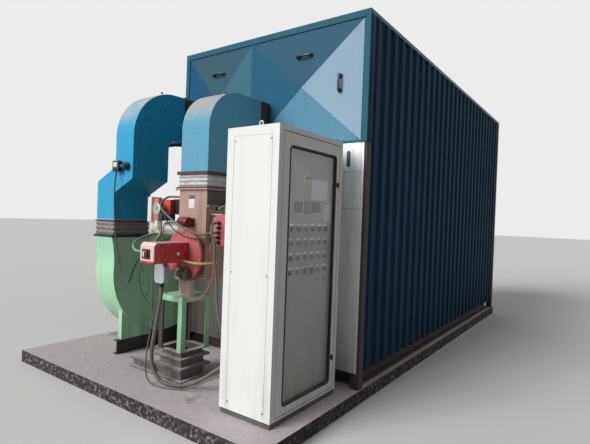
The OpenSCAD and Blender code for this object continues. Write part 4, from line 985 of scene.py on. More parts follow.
def dressDucts(v):
    c, h = v["cold"], v["hot"]
    dressColdDuct(v, c)
    dressHotDuct(v, h)
    for name, d, node in (("coldDuctSeams", c, "cold_air_duct"), ("hotDuctSeams", h, "hot_air_duct")):
        z = d["foot"] + d["seam"]
        low = (d["left"] - 1.5, d["front"] - 2.5, z - 4)
        high = (d["right"] + 2.5, d["front"] + v["depth"] + 2, z + 4)
        fit(roundedBoxes(name, [(low, high)], 2, 2), node)
    plugs = turned("ductPlugs", v["plug"], [c["plug"], h["plug"]], (0, -0.35, 0.94), 20)
    fit(plugs, "cold_air_duct", "rust_brown")


dressDucts(ductValues)

jointValues = {
    "cold": dict(x0=-2548, x1=-2234, y0=-810, y1=-396, z0=1162, z1=1290, folds=3, depth=9),
    "hot": dict(x0=-1349, x1=-997, y0=-790, y1=-362, z0=1614, z1=1714, folds=3, depth=10),
    # lip, thickness and finish of the frames that clamp each one
    "clamps": {"cold": (2, 10, "collarNavy"), "hot": (8, 12, "rust_brown")},
}


def bellows(name, x0, x1, y0, y1, z0, z1, folds, depth, corner=14, sagging=0.25):
    # rounded rectangle whose half sizes grow and shrink with a rounded wave up the height, closed top and
    # bottom; the cloth sags unevenly: the wave is scaled by a slow sine across times a slow cosine along
    z = np.linspace(0, 1, folds * 10 + 1)
    wave = (1 - np.abs(np.cos(z * folds * math.pi)) ** 1.6) * depth - depth
    loop = roundedLoop((x0, y0), (x1, y1), corner, 5)
    mid = np.array([(x0 + x1) / 2, (y0 + y1) / 2])
    half = np.array([(x1 - x0) / 2, (y1 - y0) / 2])
    sag = 1 + sagging * np.sin(loop[:, :1] * 0.045) * np.cos(loop[:, 1:] * 0.037)
    points = mid + ((loop - mid) / half)[None] * (half + wave[:, None, None] * sag[None])
    height = np.broadcast_to((z0 + z * (z1 - z0))[:, None, None], (len(z), len(loop), 1))
    grid = np.concatenate([points, height], -1)
    n, m = len(z), len(loop)
    faces = gridFaces(n, m, closeV=True).tolist() + [list(range(m)), list(range((n - 1) * m, n * m))]
    return healed(newPiece(name, site(grid.reshape(-1, 3)), faces), 50)


def dressJoints(v):
    for side in v["clamps"]:
        fit(bellows(f"{side}Bellows", **v[side]), f"{side}_air_joint", replace=True)
    for side, (lip, thick, finish) in v["clamps"].items():
        d, node = v[side], f"{side}_air_joint"
        rings = [((d["x0"] - lip, d["y0"] - lip, z), (d["x1"] + lip, d["y1"] + lip, z + thick))
                 for z in (d["z0"] - thick, d["z1"])]
        fit(softened(roundedBoxes(f"{side}ClampFrames", rings, 2, 2), 1, 1), node, finish)
        places = rimBolts(d["x0"], d["x1"], d["y0"], d["y1"], d["z0"] - thick)
        fit(turned(f"{side}ClampNuts", boltProfile(5, 7), places, (0, 0, -1), 6), node, "zincBolt")


dressJoints(jointValues)
print("ducts dressed")

fanValues = {
    "left": -2510, "right": -2220, "axle": (-139, 737), "radius": 595,
    "rimHalf": 5, "lip": 3,  # half width and half thickness of the strip round the scroll's edges
    "mouth": [(-832, 1140), (-410, 1140), (-410, 1075)], "mouthFlange": (-838, -400, 1139, 1152),
    "cover": 370, "hub": 90, "coverBolts": 16, "boltRing": 346, "firstBolt": 11.3,
    # front, rear, bottom and top of the flanges where the halves of the casing meet
    "strips": [(-384, -362, 208, 774), (-334, -316, 172, 770)], "stripReach": 24, "stripBolts": 7,
}


def scrollOutline(v, more=0):
    # the radius falls by 1 mm a degree up to 70 degrees and by 0.776 mm a degree after that; before -10 a
    # quarter of the square of the degrees past it is added, so that it flares into the mouth
    a = np.arange(300, -28.1, -3.0)
    flare = 0.25 * np.maximum(0, -10 - a) ** 2
    r = v["radius"] + np.maximum(0, 70 - a) + flare - 0.776 * np.maximum(0, a - 70) + more
    y, z = v["axle"]
    curve = np.stack([y - r * np.cos(np.radians(a)), z - r * np.sin(np.radians(a))], -1)
    return np.concatenate([v["mouth"], curve])


def dressFan(v):
    x0, x1, w, lip = v["left"], v["right"], v["rimHalf"], v["lip"]
    fit(softened(prism("fanScroll", scrollOutline(v), x0, x1, "X", 30), 2), "fan_scroll", replace=True)
    curve = scrollOutline(v, -w)[len(v["mouth"]):]
    section = [(-w, -lip), (w, -lip), (w, lip), (-w, lip)]
    for name, x in (("fanRim", x1 + lip / 2), ("fanRimLeft", x0 - lip / 2)):
        fit(swept(name, section, np.insert(curve, 0, x, axis=1), (1, 0, 0), closed=False), "fan_scroll")
    y0, y1, z0, z1 = v["mouthFlange"]
    fit(flangeRing("fanMouthFlange", (x0 - 22, y0, z0), (x1 + 4, y1, z1)), "fan_scroll", "collarNavy")
    y, z = v["axle"]
    r, hub = v["cover"], v["hub"]
    disc = [(0, 0), (r, 0), (r, 5), (r - 3, 7), (r - 54, 7), (r - 58, 11), (hub, 11), (hub - 4, 14), (0, 14)]
    fit(turned("fanCoverDisc", disc, (x1, y, z), (1, 0, 0), 96), "fan_cover", replace=True)
    seal = [(0, -1), (r + 5, -1), (r + 5, 1.5), (0, 1.5)]
    fit(turned("fanCoverSeal", seal, (x1, y, z), (1, 0, 0), 96), "fan_cover", "blackRubber")
    a = np.radians(np.arange(v["coverBolts"]) * 360 / v["coverBolts"] + v["firstBolt"])
    ring = np.stack([np.full(len(a), x1 + 6.0), y + v["boltRing"] * np.cos(a), z + v["boltRing"] * np.sin(a)],
                    -1)
    fit(turned("fanCoverBolts", boltProfile(7, 9), ring, (1, 0, 0), 6), "fan_cover", "zincBolt")
    strips = [((x1 - 2, y0, z0), (x1 + v["stripReach"], y1, z1)) for y0, y1, z0, z1 in v["strips"]]
    fit(softened(roundedBoxes("fanSplitFlanges", strips, 2, 2), 1, 1), "fan_scroll")
    y0, y1, z0, z1 = v["strips"][0]
    heights = np.linspace(z0 + 25, z1 - 25, v["stripBolts"])
    nuts = [(x1 + v["stripReach"] / 2, y1, height) for height in heights]
    fit(turned("fanSplitBolts", boltProfile(6, 8), nuts, (0, 1, 0), 6), "fan_scroll", "zincBolt")


pedestalValues = {
    "inset": 12, "foot": 135, "legWidth": 58, "lowHalf": 560,  # the scroll's lower half is under this height
    "legs": [("right", -690, -372), ("right", 60, 300), ("left", -300, 300)],  # side, front and rear
    "rail": [(0, 0), (0, 136), (-60, 136), (-60, 125), (-9, 125), (-9, 11), (-60, 11), (-60, 0)],
    "railRight": (-736, 340), "railLeft": (-312, 340), "ties": (-240, 340),
    "bolts": (-715, -350, 40),
}


def dressPedestal(v, fan):
    # each leg's top edge follows the lower half of the scroll, 3 mm inside its sheet
    x0, x1, w = fan["left"] + v["inset"], fan["right"] - v["inset"], v["legWidth"]
    under = scrollOutline(fan)[len(fan["mouth"]):]
    under = under[under[:, 1] < v["lowHalf"]]
    under = under[np.argsort(under[:, 0])]
    for k, (side, y0, y1) in enumerate(v["legs"]):
        y = np.linspace(y0, y1, 16)
        top = np.stack([y, np.interp(y, under[:, 0], under[:, 1]) + 3], -1)
        outline = np.concatenate([top, [(y1, v["foot"]), (y0, v["foot"])]])
        low, high = (x0, x0 + w) if side == "left" else (x1 - w, x1)
        leg = prism(f"pedestalLeg{k + 1}", outline, low, high, "X")
        fit(softened(leg, 2, 1), "fan_pedestal", replace=k == 0)
    rail = np.array(v["rail"])
    bars = [prism("pedestalRailRight", rail + (x1, 0), *v["railRight"], "Y"),
            prism("pedestalRailLeft", rail * (-1, 1) + (x0, 0), *v["railLeft"], "Y")]
    for k, y in enumerate(v["ties"]):
        bars.append(prism(f"pedestalTie{k + 1}", rail + (y, 0), x0 + 8, x1 - 8, "X"))
    for bar in bars:
        fit(softened(bar, 2, 1), "fan_pedestal", "beamSteel")
    feet = [(x1 - 30, y, v["foot"] + 1) for y in v["bolts"]]
    fit(turned("pedestalBolts", boltProfile(9, 14), feet, (0, 0, 1), 6), "fan_pedestal", "zincBolt")


motorValues = {  # a far and a near number are distances to the left of the fan's casing
    "finSteps": 192, "finRoot": 137, "finHeight": 12, "finEnds": (300, 60),
    "shield": [(0, 0), (80, 0), (80, 18), (150, 30), (150, 62), (132, 66), (0, 66)],
    "cowl": [(0, 0), (158, 0), (160, 6), (160, 96), (148, 112), (120, 116), (116, 112), (30, 112), (26, 116),
             (0, 116)],
    "cowlFrom": 304,
    "leadBox": (230, 110, 60, 138, 205),  # far, near, half width, bottom and top above the axle
    "stool": (330, 60, 130), "drop": 138, "stoolPlate": 12,  # far, near, half width; drop from the axle
    "boltSpan": (30, 210, 96),  # first bolt from the stool's far end, step, and half the span across
}


def dressMotor(v, fan):
    x1, (y, z) = fan["left"], fan["axle"]
    # fins: round the turn the radius stands two steps at the tip, then two at the root
    a = np.linspace(0, 2 * math.pi, v["finSteps"], endpoint=False)
    r = v["finRoot"] + v["finHeight"] * (np.arange(v["finSteps"]) % 4 < 2)
    far, near = v["finEnds"]
    ridges = np.stack([y + r * np.cos(a), z + r * np.sin(a)], -1)
    fit(prism("motorFins", ridges, x1 - far, x1 - near, "X", 20), "fan_motor", replace=True)
    fit(turned("motorFrontShield", v["shield"], (x1, y, z), (-1, 0, 0), 48), "fan_motor")
    fit(turned("motorCowl", v["cowl"], (x1 - v["cowlFrom"], y, z), (-1, 0, 0), 48), "fan_motor")
    far, near, half, low, high = v["leadBox"]
    box = [((x1 - far, y - half, z + low), (x1 - near, y + half, z + high))]
    fit(softened(roundedBoxes("motorLeadBox", box, 8), 1, 1), "fan_motor")
    far, near, half = v["stool"]
    x0, x1, seat, t = x1 - far, x1 - near, z - v["drop"], v["stoolPlate"]
    stool = [((x0, y - half, low), (x1, y + half, low + t)) for low in (0, seat - t)]
    stool += [((x, y - half + 10, 10), (x + 20, y + half - 10, seat - 2)) for x in (x0 + 10, x1 - 30)]
    stool += [((x0 + 20, y + side, 12), (x1 - 20, y + side + 16, seat - 7)) for side in (-100, 84)]
    fit(softened(roundedBoxes("motorStool", stool, 2, 2), 1, 1), "fan_motor", "stand_green")
    first, step, half = v["boltSpan"]
    feet = [(x0 + first + step * i, y + half * side, seat) for i in (0, 1) for side in (-1, 1)]
    fit(turned("motorFootBolts", boltProfile(8, 12), feet, (0, 0, 1), 6), "fan_motor", "zincBolt")


dressFan(fanValues)
dressPedestal(pedestalValues, fanValues)
dressMotor(motorValues, fanValues)
print("fan dressed")

burnerValues = {
    "axis": (-1173, -776, 1055), "disc": 205, "reach": 84, "rim": 26,
    "bolts": (0, 45, 90, 125, 180, 225, 270, 315),
    "box": (-1272, -1112, 1006, 1164, -1190, -860), "slope": 24,  # left, right, bottom, top, front and rear
    "dial": (-1244, -1151, 1040, 1116), "boss": (-1197, 1078), "lens": (25, 26),
    "knobAt": (-1112, -968, 1076),
    "knob": [(0, -2), (15, -2), (15, 2), (7, 3), (7, 9), (12, 11), (13, 17), (10, 20), (0, 21)],
    "screw": [(0, -1), (6, -1), (6, 2), (4, 3.5), (0, 4)],
    "hoseNuts": [(-1112, -907, 1016), (-1010, -522, 1010)],
    "hoseNut": [(0, -2), (16, -2), (16, 9), (13, 12), (13, 18), (11, 22), (0, 22)],
}


def dressDisc(v):
    x, y, z = v["axis"]
    r, reach, rim = v["disc"], v["reach"], v["rim"]
    disc = [(0, 0), (r - 62, 0), (r - 62, reach - rim), (r - 2, reach - rim), (r, reach - rim + 2),
            (r, reach - 5), (r - 4, reach), (r - 26, reach), (r - 28, reach - 2), (r - 32, reach - 2),
            (r - 34, reach), (0, reach)]
    fit(turned("burnerDisc", disc, (x, y, z), (0, -1, 0), 96), "burner_disc", replace=True)
    a = np.radians(v["bolts"])
    bolts = np.stack([x + (r - 17) * np.cos(a), np.full(len(a), y - reach + 1.0), z + (r - 17) * np.sin(a)],
                     -1)
    fit(turned("burnerDiscBolts", boltProfile(7, 10), bolts, (0, -1, 0), 6), "burner_disc", "zincBolt")


def dressControl(v):
    x0, x1, z0, z1, y0, y1 = v["box"]
    s = v["slope"]
    side = [(y0, z0), (y1, z0), (y1, z1), (y0 + s, z1), (y0, z1 - s)]
    fit(softened(prism("controlBody", side, x0, x1, "X"), 5, 3), "control_box", replace=True)
    front = [(y0 - 2, z0 + 18), (y0 + 8, z0 + 18), (y0 + 8, z1 - s - 4), (y0 + s + 6, z1 - 5),
             (y0 + s + 6, z1 + 2), (y0 + s - 1, z1 + 2), (y0 - 2, z1 - s + 1)]
    fit(softened(prism("controlFront", front, x0 + 1, x1 + 1.5, "X"), 2, 2), "control_box", "boxFront")
    seam = [((x0 - 1, y1 - 66, z0 + 2), (x1 + 1, y1 - 62, z1 - 1))]
    fit(roundedBoxes("controlSeam", seam, 1, 2), "control_box", "motorRed")
    a0, a1, b0, b1 = v["dial"]
    dial = softened(roundedBoxes("dialPlate", [((a0, y0 - 9, b0), (a1, y0, b1))], 9, 5), 1, 1)
    fit(dial, "control_box", "black_plastic")
    # the lens is two half ellipses 1 mm off its middle, one to the right and one to the left
    bx, bz = v["boss"]
    wide, tall = v["lens"]
    half = np.radians(np.linspace(-90, 90, 13))
    for name, sign, finish in (("dialRight", 1, "redLens"), ("dialLeft", -1, "plateWhite")):
        outline = np.stack([bx + sign * (1 + wide * np.cos(half)), bz + tall * np.sin(half)], -1)
        fit(softened(prism(name, outline, y0 - 19, y0 - 8, "Y"), 3), "control_box", finish)
    pointer = [((bx - 4, y0 - 23, bz - 22), (bx + 4, y0 - 17, bz + 22))]
    fit(roundedBoxes("dialPointer", pointer, 3), "control_box", "black_plastic")
    fit(turned("sideKnob", v["knob"], v["knobAt"], (1, 0, 0), 32), "control_box", "chrome")
    screws = [(x1, y0 + 40 + 110 * i, z) for i in range(3) for z in (z0 + 14, z1 - 14)]
    fit(turned("controlScrews", v["screw"], screws, (1, 0, 0), 12), "control_box", "zincBolt")
    fit(turned("hoseNuts", v["hoseNut"], v["hoseNuts"], (1, 0, 0), 6), "control_box", "bronze")


terminalValues = {
    "outline": [(-1348, 962), (-1334, 976), (-1243, 976), (-1229, 962), (-1229, 852), (-1250, 830),
                (-1327, 830), (-1348, 852)],
    "front": -1000, "back": -946, "lid": 17, "lidScale": 1.03,
    "neck": ((-1312, -986, 970), (-1262, -948, 1012)),
    "screws": [(x, -999, z) for x in (-1334, -1243) for z in (858, 960)],
    "screw": [(0, -1), (5, -1), (5, 1), (3, 2), (0, 2)], "leadAt": (-1286, -973, 831),
    "lead": [(0, -2), (22, -2), (22, 8), (20, 10), (20, 14), (18.5, 15), (17.4, 34), (17, 36), (0, 36)],
}


def dressTerminal(v):
    outline = np.array(v["outline"], float)
    middle = outline.mean(0)
    y0, y1, lid = v["front"], v["back"], v["lid"]
    fit(softened(prism("terminalBody", outline, y0 + lid + 1, y1, "Y"), 4), "terminal_box", replace=True)
    outline = middle + (outline - middle) * v["lidScale"]
    fit(softened(prism("terminalLid", outline, y0, y0 + lid, "Y"), 5, 3), "terminal_box")
    fit(roundedBoxes("terminalNeck", [v["neck"]], 6), "terminal_box")
    fit(turned("terminalScrews", v["screw"], v["screws"], (0, -1, 0), 12), "terminal_box", "zincBolt")
    fit(turned("leadRelief", v["lead"], v["leadAt"], (0, 0, -1), 32), "terminal_box", "blackRubber")


drumValues = {
    "air": (-1335, -700, 1250), "airRadius": 64, "airLength": 255, "airBolts": 6,
    "drive": (-1188, -828, 1323),
    "driveCap": [(0, 0), (42, 0), (42, 31), (38, 37), (0, 37)],
    "driveBody": [(0, -2), (42, -2), (42, 60), (39, 62), (39, 70), (36, 76), (0, 76)],
    "bracket": (4, 44, -787, -775, 33),  # its ends to the right of the drive, front, rear and half height
}


def dressDrums(v):
    (x, y, z), r, length = v["air"], v["airRadius"], v["airLength"]
    body = [(0, 0), (r - 6, 0), (r - 6, 30), (r, 34), (r, 60), (r - 3, 63), (r - 3, length - 62),
            (r, length - 58), (r, length - 20), (r - 14, length - 3), (0, length)]
    fit(turned("airDrum", body, (x, y, z), (-1, 0, 0), 56), "burner_drums", "silverCast", replace=True)
    a = np.radians(np.arange(v["airBolts"]) * 360 / v["airBolts"] + 20)
    rods = np.stack([np.full(len(a), x - 18.0), y + (r - 3) * np.cos(a), z + (r - 3) * np.sin(a)], -1)
    fit(turned("airDrumBolts", boltProfile(5, 7), rods, (-1, 0, 0), 6), "burner_drums", "zincBolt")
    fit(turned("driveCap", v["driveCap"], v["drive"], (1, 0, 0), 48), "burner_drums", "motorRed")
    fit(turned("driveBody", v["driveBody"], v["drive"], (-1, 0, 0), 48), "burner_drums", "motorRed")
    x, y, z = v["drive"]
    left, right, front, rear, half = v["bracket"]
    bracket = [((x + left, front, z - half), (x + right, rear, z + half))]
    fit(roundedBoxes("driveBracket", bracket, 3), "burner_drums", "motorRed")


def fitTurned(node, pieces):
    # each piece: profile, places, direction, steps round and finish
    for name, (profile, places, direction, steps, finish) in pieces.items():
        fit(turned(name, profile, places, direction, steps), node, finish)


feedValues = {
    "pot": [(0, 0), (70, 0), (70, 10), (66, 12), (66, 122), (70, 124), (70, 136), (0, 137)],
    "potAt": (-1245, -745, 706), "neck": ((-1290, -740, 836), (-1200, -690, 872)),
    "ignition": ((-1232, -899, 862), (-1168, -859, 954)), "foot": ((-1112, -876, 892), (-1084, -858, 928)),
    "valve": {
        "valveBarrel": ([(0, 0), (34, 0), (34, 38), (25, 42), (24, 62), (27, 64), (27, 84), (22, 90),
                         (22, 106), (0, 107)], (-1169, -896, 910), (1, 0, 0), 40, "darkBronze"),
        "valveWheel": ([(0, 0), (50, 0), (50, 14), (44, 18), (44, 26), (20, 30), (20, 44), (0, 46)],
                       (-1115, -876, 910), (0, -1, 0), 48, "darkBronze"),
        "valveWheelCap": ([(0, 0), (14, 0), (14, 4), (0, 6)], (-1115, -922, 910), (0, -1, 0), 24,
                          "black_plastic"),
        "valveSpout": ([(0, 0), (12, 0), (12, 34), (0, 44)], (-1150, -896, 868), (0, 0, 1), 24, "darkBronze"),
        "valveCoil": ([(0, 0), (22, 0), (24, 3), (24, 30), (20, 34), (0, 34)],
                      (-1128, -896, 926), (0, 0, 1), 24, "motorRed"),
    },
}


def dressFeed(v):
    fit(turned("feedPot", v["pot"], v["potAt"], (0, 0, 1), 64), "burner_feed", "potCast", replace=True)
    fit(roundedBoxes("feedNeck", [v["neck"]], 6), "burner_feed", "potCast")
    fit(softened(roundedBoxes("ignitionBox", [v["ignition"]], 6), 1, 1), "burner_feed", "beigeCase")
    fitTurned("burner_feed", v["valve"])
    fit(roundedBoxes("valveFoot", [v["foot"]], 4), "burner_feed", "bronze")


standValues = {
    "left": -1471, "right": -1185, "front": -844, "back": -534, "top": 706, "foot": 250,
    "sheet": 7, "rim": 46, "leg": 50, "boltInset": (30, 40),
}


def dressStand(v):
    x0, x1, y0, y1, top, t, w = (v[k] for k in ("left", "right", "front", "back", "top", "sheet", "leg"))
    low, under = top - v["rim"], top - t
    plates = [((x0, y0, under), (x1, y1, top)), ((x0, y0, low), (x1, y0 + t, under)),
              ((x0, y1 - t, low), (x1, y1, under)), ((x0, y0 + t, low), (x0 + t, y1 - t, under)),
              ((x1 - t, y0 + t, low), (x1, y1 - t, under))]
    fit(roundedBoxes("standTray", plates, 1.5, 2), "burner_stand", replace=True)
    angle = np.array([(0, 0), (w, 0), (w, t), (t, t), (t, w), (0, w)], float)
    for k, (x, y) in enumerate(((x0, y0), (x0, y1), (x1, y0), (x1, y1))):
        leg = angle * (1 if x == x0 else -1, 1 if y == y0 else -1) + (x, y)
        piece = prism(f"standLeg{k + 1}", leg, v["foot"], low, "Z")
        fit(softened(piece, 1.5, 1), "burner_stand", "beamSteel" if x == x0 else None)
    dx, dy = v["boltInset"]
    bolts = [(x, y, top) for x in (x0 + dx, x1 - dx) for y in (y0 + dy, y1 - dy)]
    fit(turned("standBolts", boltProfile(7, 10), bolts, (0, 0, 1), 6), "burner_stand", "zincBolt")


dressDisc(burnerValues)
dressControl(burnerValues)
dressTerminal(terminalValues)
dressDrums(drumValues)
dressFeed(feedValues)
dressStand(standValues)
print("burner dressed")

valveValues = {
    "boxes": {  # low corner, high corner and finish
        "backPlate": ((-1790, -760, 1306), (-1735, -640, 1530), "plateWhite"),
        "redLeft": ((-1736, -740, 1320), (-1656, -600, 1512), "valvePink"),
        "redRight": ((-1690, -700, 1380), (-1550, -560, 1510), "valveRed"),
        "blackHead": ((-1551, -660, 1390), (-1474, -580, 1516), "black_plastic"),
        "solenoid": ((-1574, -800, 1322), (-1530, -655, 1380), "device_blue"),
        "elbow": ((-1670, -764, 1190), (-1612, -706, 1238), "paleBronze"),
    },
    "turned": {
        "valvePipe": ([(0, 0), (30, 0), (30, 12), (26, 14), (26, 126), (30, 128), (30, 140), (0, 140)],
                      (-1335, -620, 1450), (-1, 0, 0), 32, "silverCast"),
        "filterCups": ([(0, 0), (24, 0), (28, 6), (28, 40), (31, 44), (31, 60), (28, 64), (28, 92), (24, 100),
                        (0, 100)], [(-1752, -712, 1222), (-1698, -712, 1222)], (0, 0, 1), 24, "plateWhite"),
        "filterUnion": ([(0, 0), (24, 0), (24, 18), (20, 20), (20, 40), (26, 42), (26, 60), (20, 62),
                         (20, 90), (0, 90)], (-1745, -730, 1232), (1, 0, 0), 6, "paleBronze"),
        "gaugeStem": ([(0, 0), (14, 0), (14, 108), (0, 108)], (-1620, -657, 1421), (0, -1, 0), 20, "bronze"),
    },
    "gauge": (-1620, -764, 1421), "gaugeSize": 52, "marks": (-40, 220, 14),  # first and last angle, count
    "mark": [(0, -0.5), (1.6, -0.5), (1.6, 0.5), (0, 0.5)], "needle": [(-4, -6), (3, -5), (20, 26), (18, 27)],
    "screws": [(x, -740, z) for x in (-1728, -1664) for z in (1330, 1502)]
              + [(x, -700, z) for x in (-1645, -1562) for z in (1394, 1496)],
}


def dressValves(v):
    for k, (name, (low, high, finish)) in enumerate(v["boxes"].items()):
        fit(softened(roundedBoxes(name, [(low, high)], 5, 4), 1, 1), "valve_boxes", finish, replace=k == 0)
    fitTurned("valve_boxes", v["turned"])
    x, y, z = v["gauge"]
    r, front = v["gaugeSize"], y - 31.5
    case = [(0, 0), (r - 6, 0), (r - 2, 4), (r - 2, 24), (r, 26), (r, 32), (r - 3, 34), (r - 7, 34),
            (r - 8, 30), (0, 30)]
    fit(turned("gaugeCase", case, v["gauge"], (0, -1, 0), 56), "valve_boxes", "silverCast")
    glass = [(0, 0), (r - 8.5, 0), (r - 8.5, 1), (0, 1)]
    fit(turned("gaugeFace", glass, (x, y - 30, z), (0, -1, 0), 56), "valve_boxes", "dialGlass")
    a = np.radians(np.linspace(*v["marks"]))
    marks = np.stack([x + (r - 15) * np.cos(a), np.full(len(a), front), z + (r - 15) * np.sin(a)], -1)
    fit(turned("gaugeMarks", v["mark"], marks, (0, -1, 0), 8), "valve_boxes", "blackRubber")
    needle = prism("gaugeNeedle", np.array(v["needle"]) + (x, z), front - 1.5, front, "Y")
    fit(needle, "valve_boxes", "redLens")
    fit(turned("valveScrews", boltProfile(5, 6), v["screws"], (0, -1, 0), 6), "valve_boxes", "zincBolt")


junctionValues = {
    "box": ((-905, -780, 1148), (-785, -690, 1392)), "lid": 16,
    "arm": ((-1011, -720, 1170), (-900, -700, 1370)), "flange": ((-1011, -735, 1391), (-882, -700, 1397)),
    "glands": (-858, 1175, 38, 5),  # across, lowest, step up and count
    "gland": [(0, 0), (18, 0), (18, 8), (14, 9), (14, 17), (12.5, 24), (0, 24)],
    "screw": [(0, -1), (5, -1), (5, 1.5), (0, 2.5)], "screwInset": 12,
}


def dressJunction(v):
    low, high = (np.array(corner, float) for corner in v["box"])
    body = roundedBoxes("junctionBody", [(low + (0, v["lid"] - 2, 0), high)], 8, 4)
    fit(softened(body, 1, 1), "junction_box", replace=True)
    lid = roundedBoxes("junctionLid", [(low - (1, 0, 1), (high[0] + 1, low[1] + v["lid"], high[2] + 1))], 5,
                       3)
    fit(softened(lid, 1, 1), "junction_box")
    fit(roundedBoxes("junctionArm", [v["arm"]], 3), "junction_box", "copper_primer")
    fit(roundedBoxes("junctionFlange", [v["flange"]], 2, 2), "junction_box", "boxFront")
    x, z, pitch, count = v["glands"]
    places = [(x, low[1] + 2, z + pitch * k) for k in range(count)]
    fit(turned("junctionGlands", v["gland"], places, (0, -1, 0), 6), "junction_box", "black_plastic")
    m = v["screwInset"]
    screws = [(x, low[1] - 0.5, z) for x in (low[0] + m, high[0] - m) for z in (low[2] + m, high[2] - m)]
    fit(turned("junctionScrews", v["screw"], screws, (0, -1, 0), 12), "junction_box", "zincBolt")


windboxValues = {
    "edges": [((-1336.5, -777.5, 872), (-1325, -774, 1590)), ((-1022, -777.5, 872), (-1009.5, -774, 1590)),
              ((-1012, -779, 872), (-1009, -766, 1590)), ((-1012, -394, 872), (-1009, -381, 1590))],
    # painted shade: a dark steel band over the windbox's upper right side, where the flange's shadow falls
    "shadeBand": ((-1011.5, -765, 1470), (-1009.4, -395, 1589)),
    "tag": ((-1221, -779.5, 1434), (-1149, -775, 1516)), "clip": ((-1216, -781, 1512), (-1154, -775, 1545)),
    "plug": [(0, -3), (17, -3), (17, 8), (13, 10), (13, 18), (8, 20), (0, 21)],
    "plugs": [(-1011, -763, 1454), (-1011, -713, 1454)],
    "lever": [(-1011, -665, 1440), (-996, -664, 1440), (-990, -650, 1446), (-989, -586, 1477)],
    "leverRadius": 7,
    "leverEnd": [(0, -12), (9, -9), (13, 0), (9, 9), (0, 12)],
    "leverEnds": [(-989, -584, 1478), (-1002, -665, 1440)],
    "flangeBolts": (-1361, -997, -790, -362, 1590),  # left, right, front, rear and height
}


def dressWindbox(v):
    fit(roundedBoxes("windboxEdges", v["edges"], 1, 2), "windbox")
    # painted shade: dark band on the windbox's upper right side
    fit(roundedBoxes("windboxShadeBand", [v["shadeBand"]], 1, 2), "windbox", "wallSteel")
    fit(roundedBoxes("windboxTag", [v["tag"]], 2, 2), "windbox", "plateWhite")
    fit(roundedBoxes("windboxClip", [v["clip"]], 8, 4), "windbox", "motor_grey")
    fit(turned("windboxPlugs", v["plug"], v["plugs"], (1, 0, 0), 24), "windbox", "zincBolt")
    arm = site(smoothRoute(v["lever"], 6))
    fit(tube("windboxLever", arm, v["leverRadius"] / 1000, 12, up=(0.9, 0.2, 0.3)), "windbox", "chrome")
    fit(turned("leverEnds", v["leverEnd"], v["leverEnds"], (0, 0.9, 0.43), 16), "windbox", "black_plastic")
    places = rimBolts(*v["flangeBolts"])
    fit(turned("windboxBolts", boltProfile(5, 8), places, (0, 0, -1), 6), "windbox", "zincBolt")


dressValves(valveValues)
dressJunction(junctionValues)
dressWindbox(windboxValues)
print("valves dressed")

switchValues = {
    "box": ((-2208, -860, 1762), (-2110, -824, 1862)),
    "brackets": [((-2190, -826, 1815), (-2128, -798, 1855)), ((-2112, -846, 1800), (-2060, -830, 1824))],
    "stem": (-2048, -800, 1812),
    "knob": [(0, 0), (30, 0), (36, 5), (36, 30), (28, 36), (28, 46), (22, 52), (0, 52)],
    "plate": ((-2190, -862, 1800), (-2130, -859, 1845)),
    "glandAt": (-2159, -845, 1763), "gland": [(0, -2), (10, -2), (10, 3), (8, 4), (7, 16), (0, 16)],
}


def dressSwitch(v):
    fit(softened(roundedBoxes("switchBody", [v["box"]], 7, 4), 1, 1), "pressure_switch", replace=True)
    fit(roundedBoxes("switchBracket", v["brackets"], 3), "pressure_switch", "motor_grey")
    fit(turned("switchKnob", v["knob"], v["stem"], (0, -1, 0), 40), "pressure_switch")
    fit(roundedBoxes("switchPlate", [v["plate"]], 1, 2), "pressure_switch", "plateWhite")
    fit(turned("switchGland", v["gland"], v["glandAt"], (0, 0, -1), 6), "pressure_switch", "black_plastic")


dressSwitch(switchValues)

cabinetValues = {
    "front": -124, "side": -998, "top": 2000,
    # front, rear, bottom and top
    "leaf": (-945, -215, 62, 1960), "window": (-866, -272, 122, 1868), "corner": 24,
    "gasket": [(-9, -18), (9, -18), (9, -2), (7, 2.5), (4, 3.5), (-4, 3.5), (-7, 2.5), (-9, -2)],
    # section, distance beyond the leaf and distance behind the front
    "recessSeals": {"recessSeal": ([(-2.5, -1), (6, -1), (6, 1), (-2.5, 1)], 2.5, 25.5),
                    "recessEdge": ([(-0.6, -7), (0.6, -7), (0.6, 7), (-0.6, 7)], 4.4, 8.0)},
    "recessLiner": ((-176, -211.6, 66), (-150, -209.6, 1956)),
    "screws": [(-505, 1905), (-190, 1905), (-505, 1000), (-190, 1000), (-505, 95), (-190, 95)],
    "screw": [(0, -1), (7, -1), (7, 1.5), (4, 3), (0, 3)],
    "locks": [(-240, 310), (-240, 1658)],
    "lock": [(0, 0), (20, 0), (20, 3), (18, 6), (11, 7), (9, 13), (0, 14)],
    "eyes": [(-353.5, -910), (-353.5, -260)], "eyeRadius": 16, "eyeWire": 5, "eyeHeight": 34,
    "collar": [(0, -1), (19, -1), (19, 5), (13, 8), (9, 11), (8, 17), (0, 18)],
    # place on the rear, radius, and how far the shoulder and the end stand out
    "rear": -583, "rearGlands": [(-780, 260, 24, 24, 29), (-780, 360, 16, 20, 23), (-840, 190, 13, 20, 23)],
}


def leafLoop(bounds, beyond, radius, steps, x):
    # rounded rectangle the given distance beyond a leaf's edges, standing at x
    y0, y1, z0, z1 = bounds
    loop = roundedLoop((y0 - beyond, z0 - beyond), (y1 + beyond, z1 + beyond), radius, steps)
    return np.insert(loop, 0, x, axis=1)


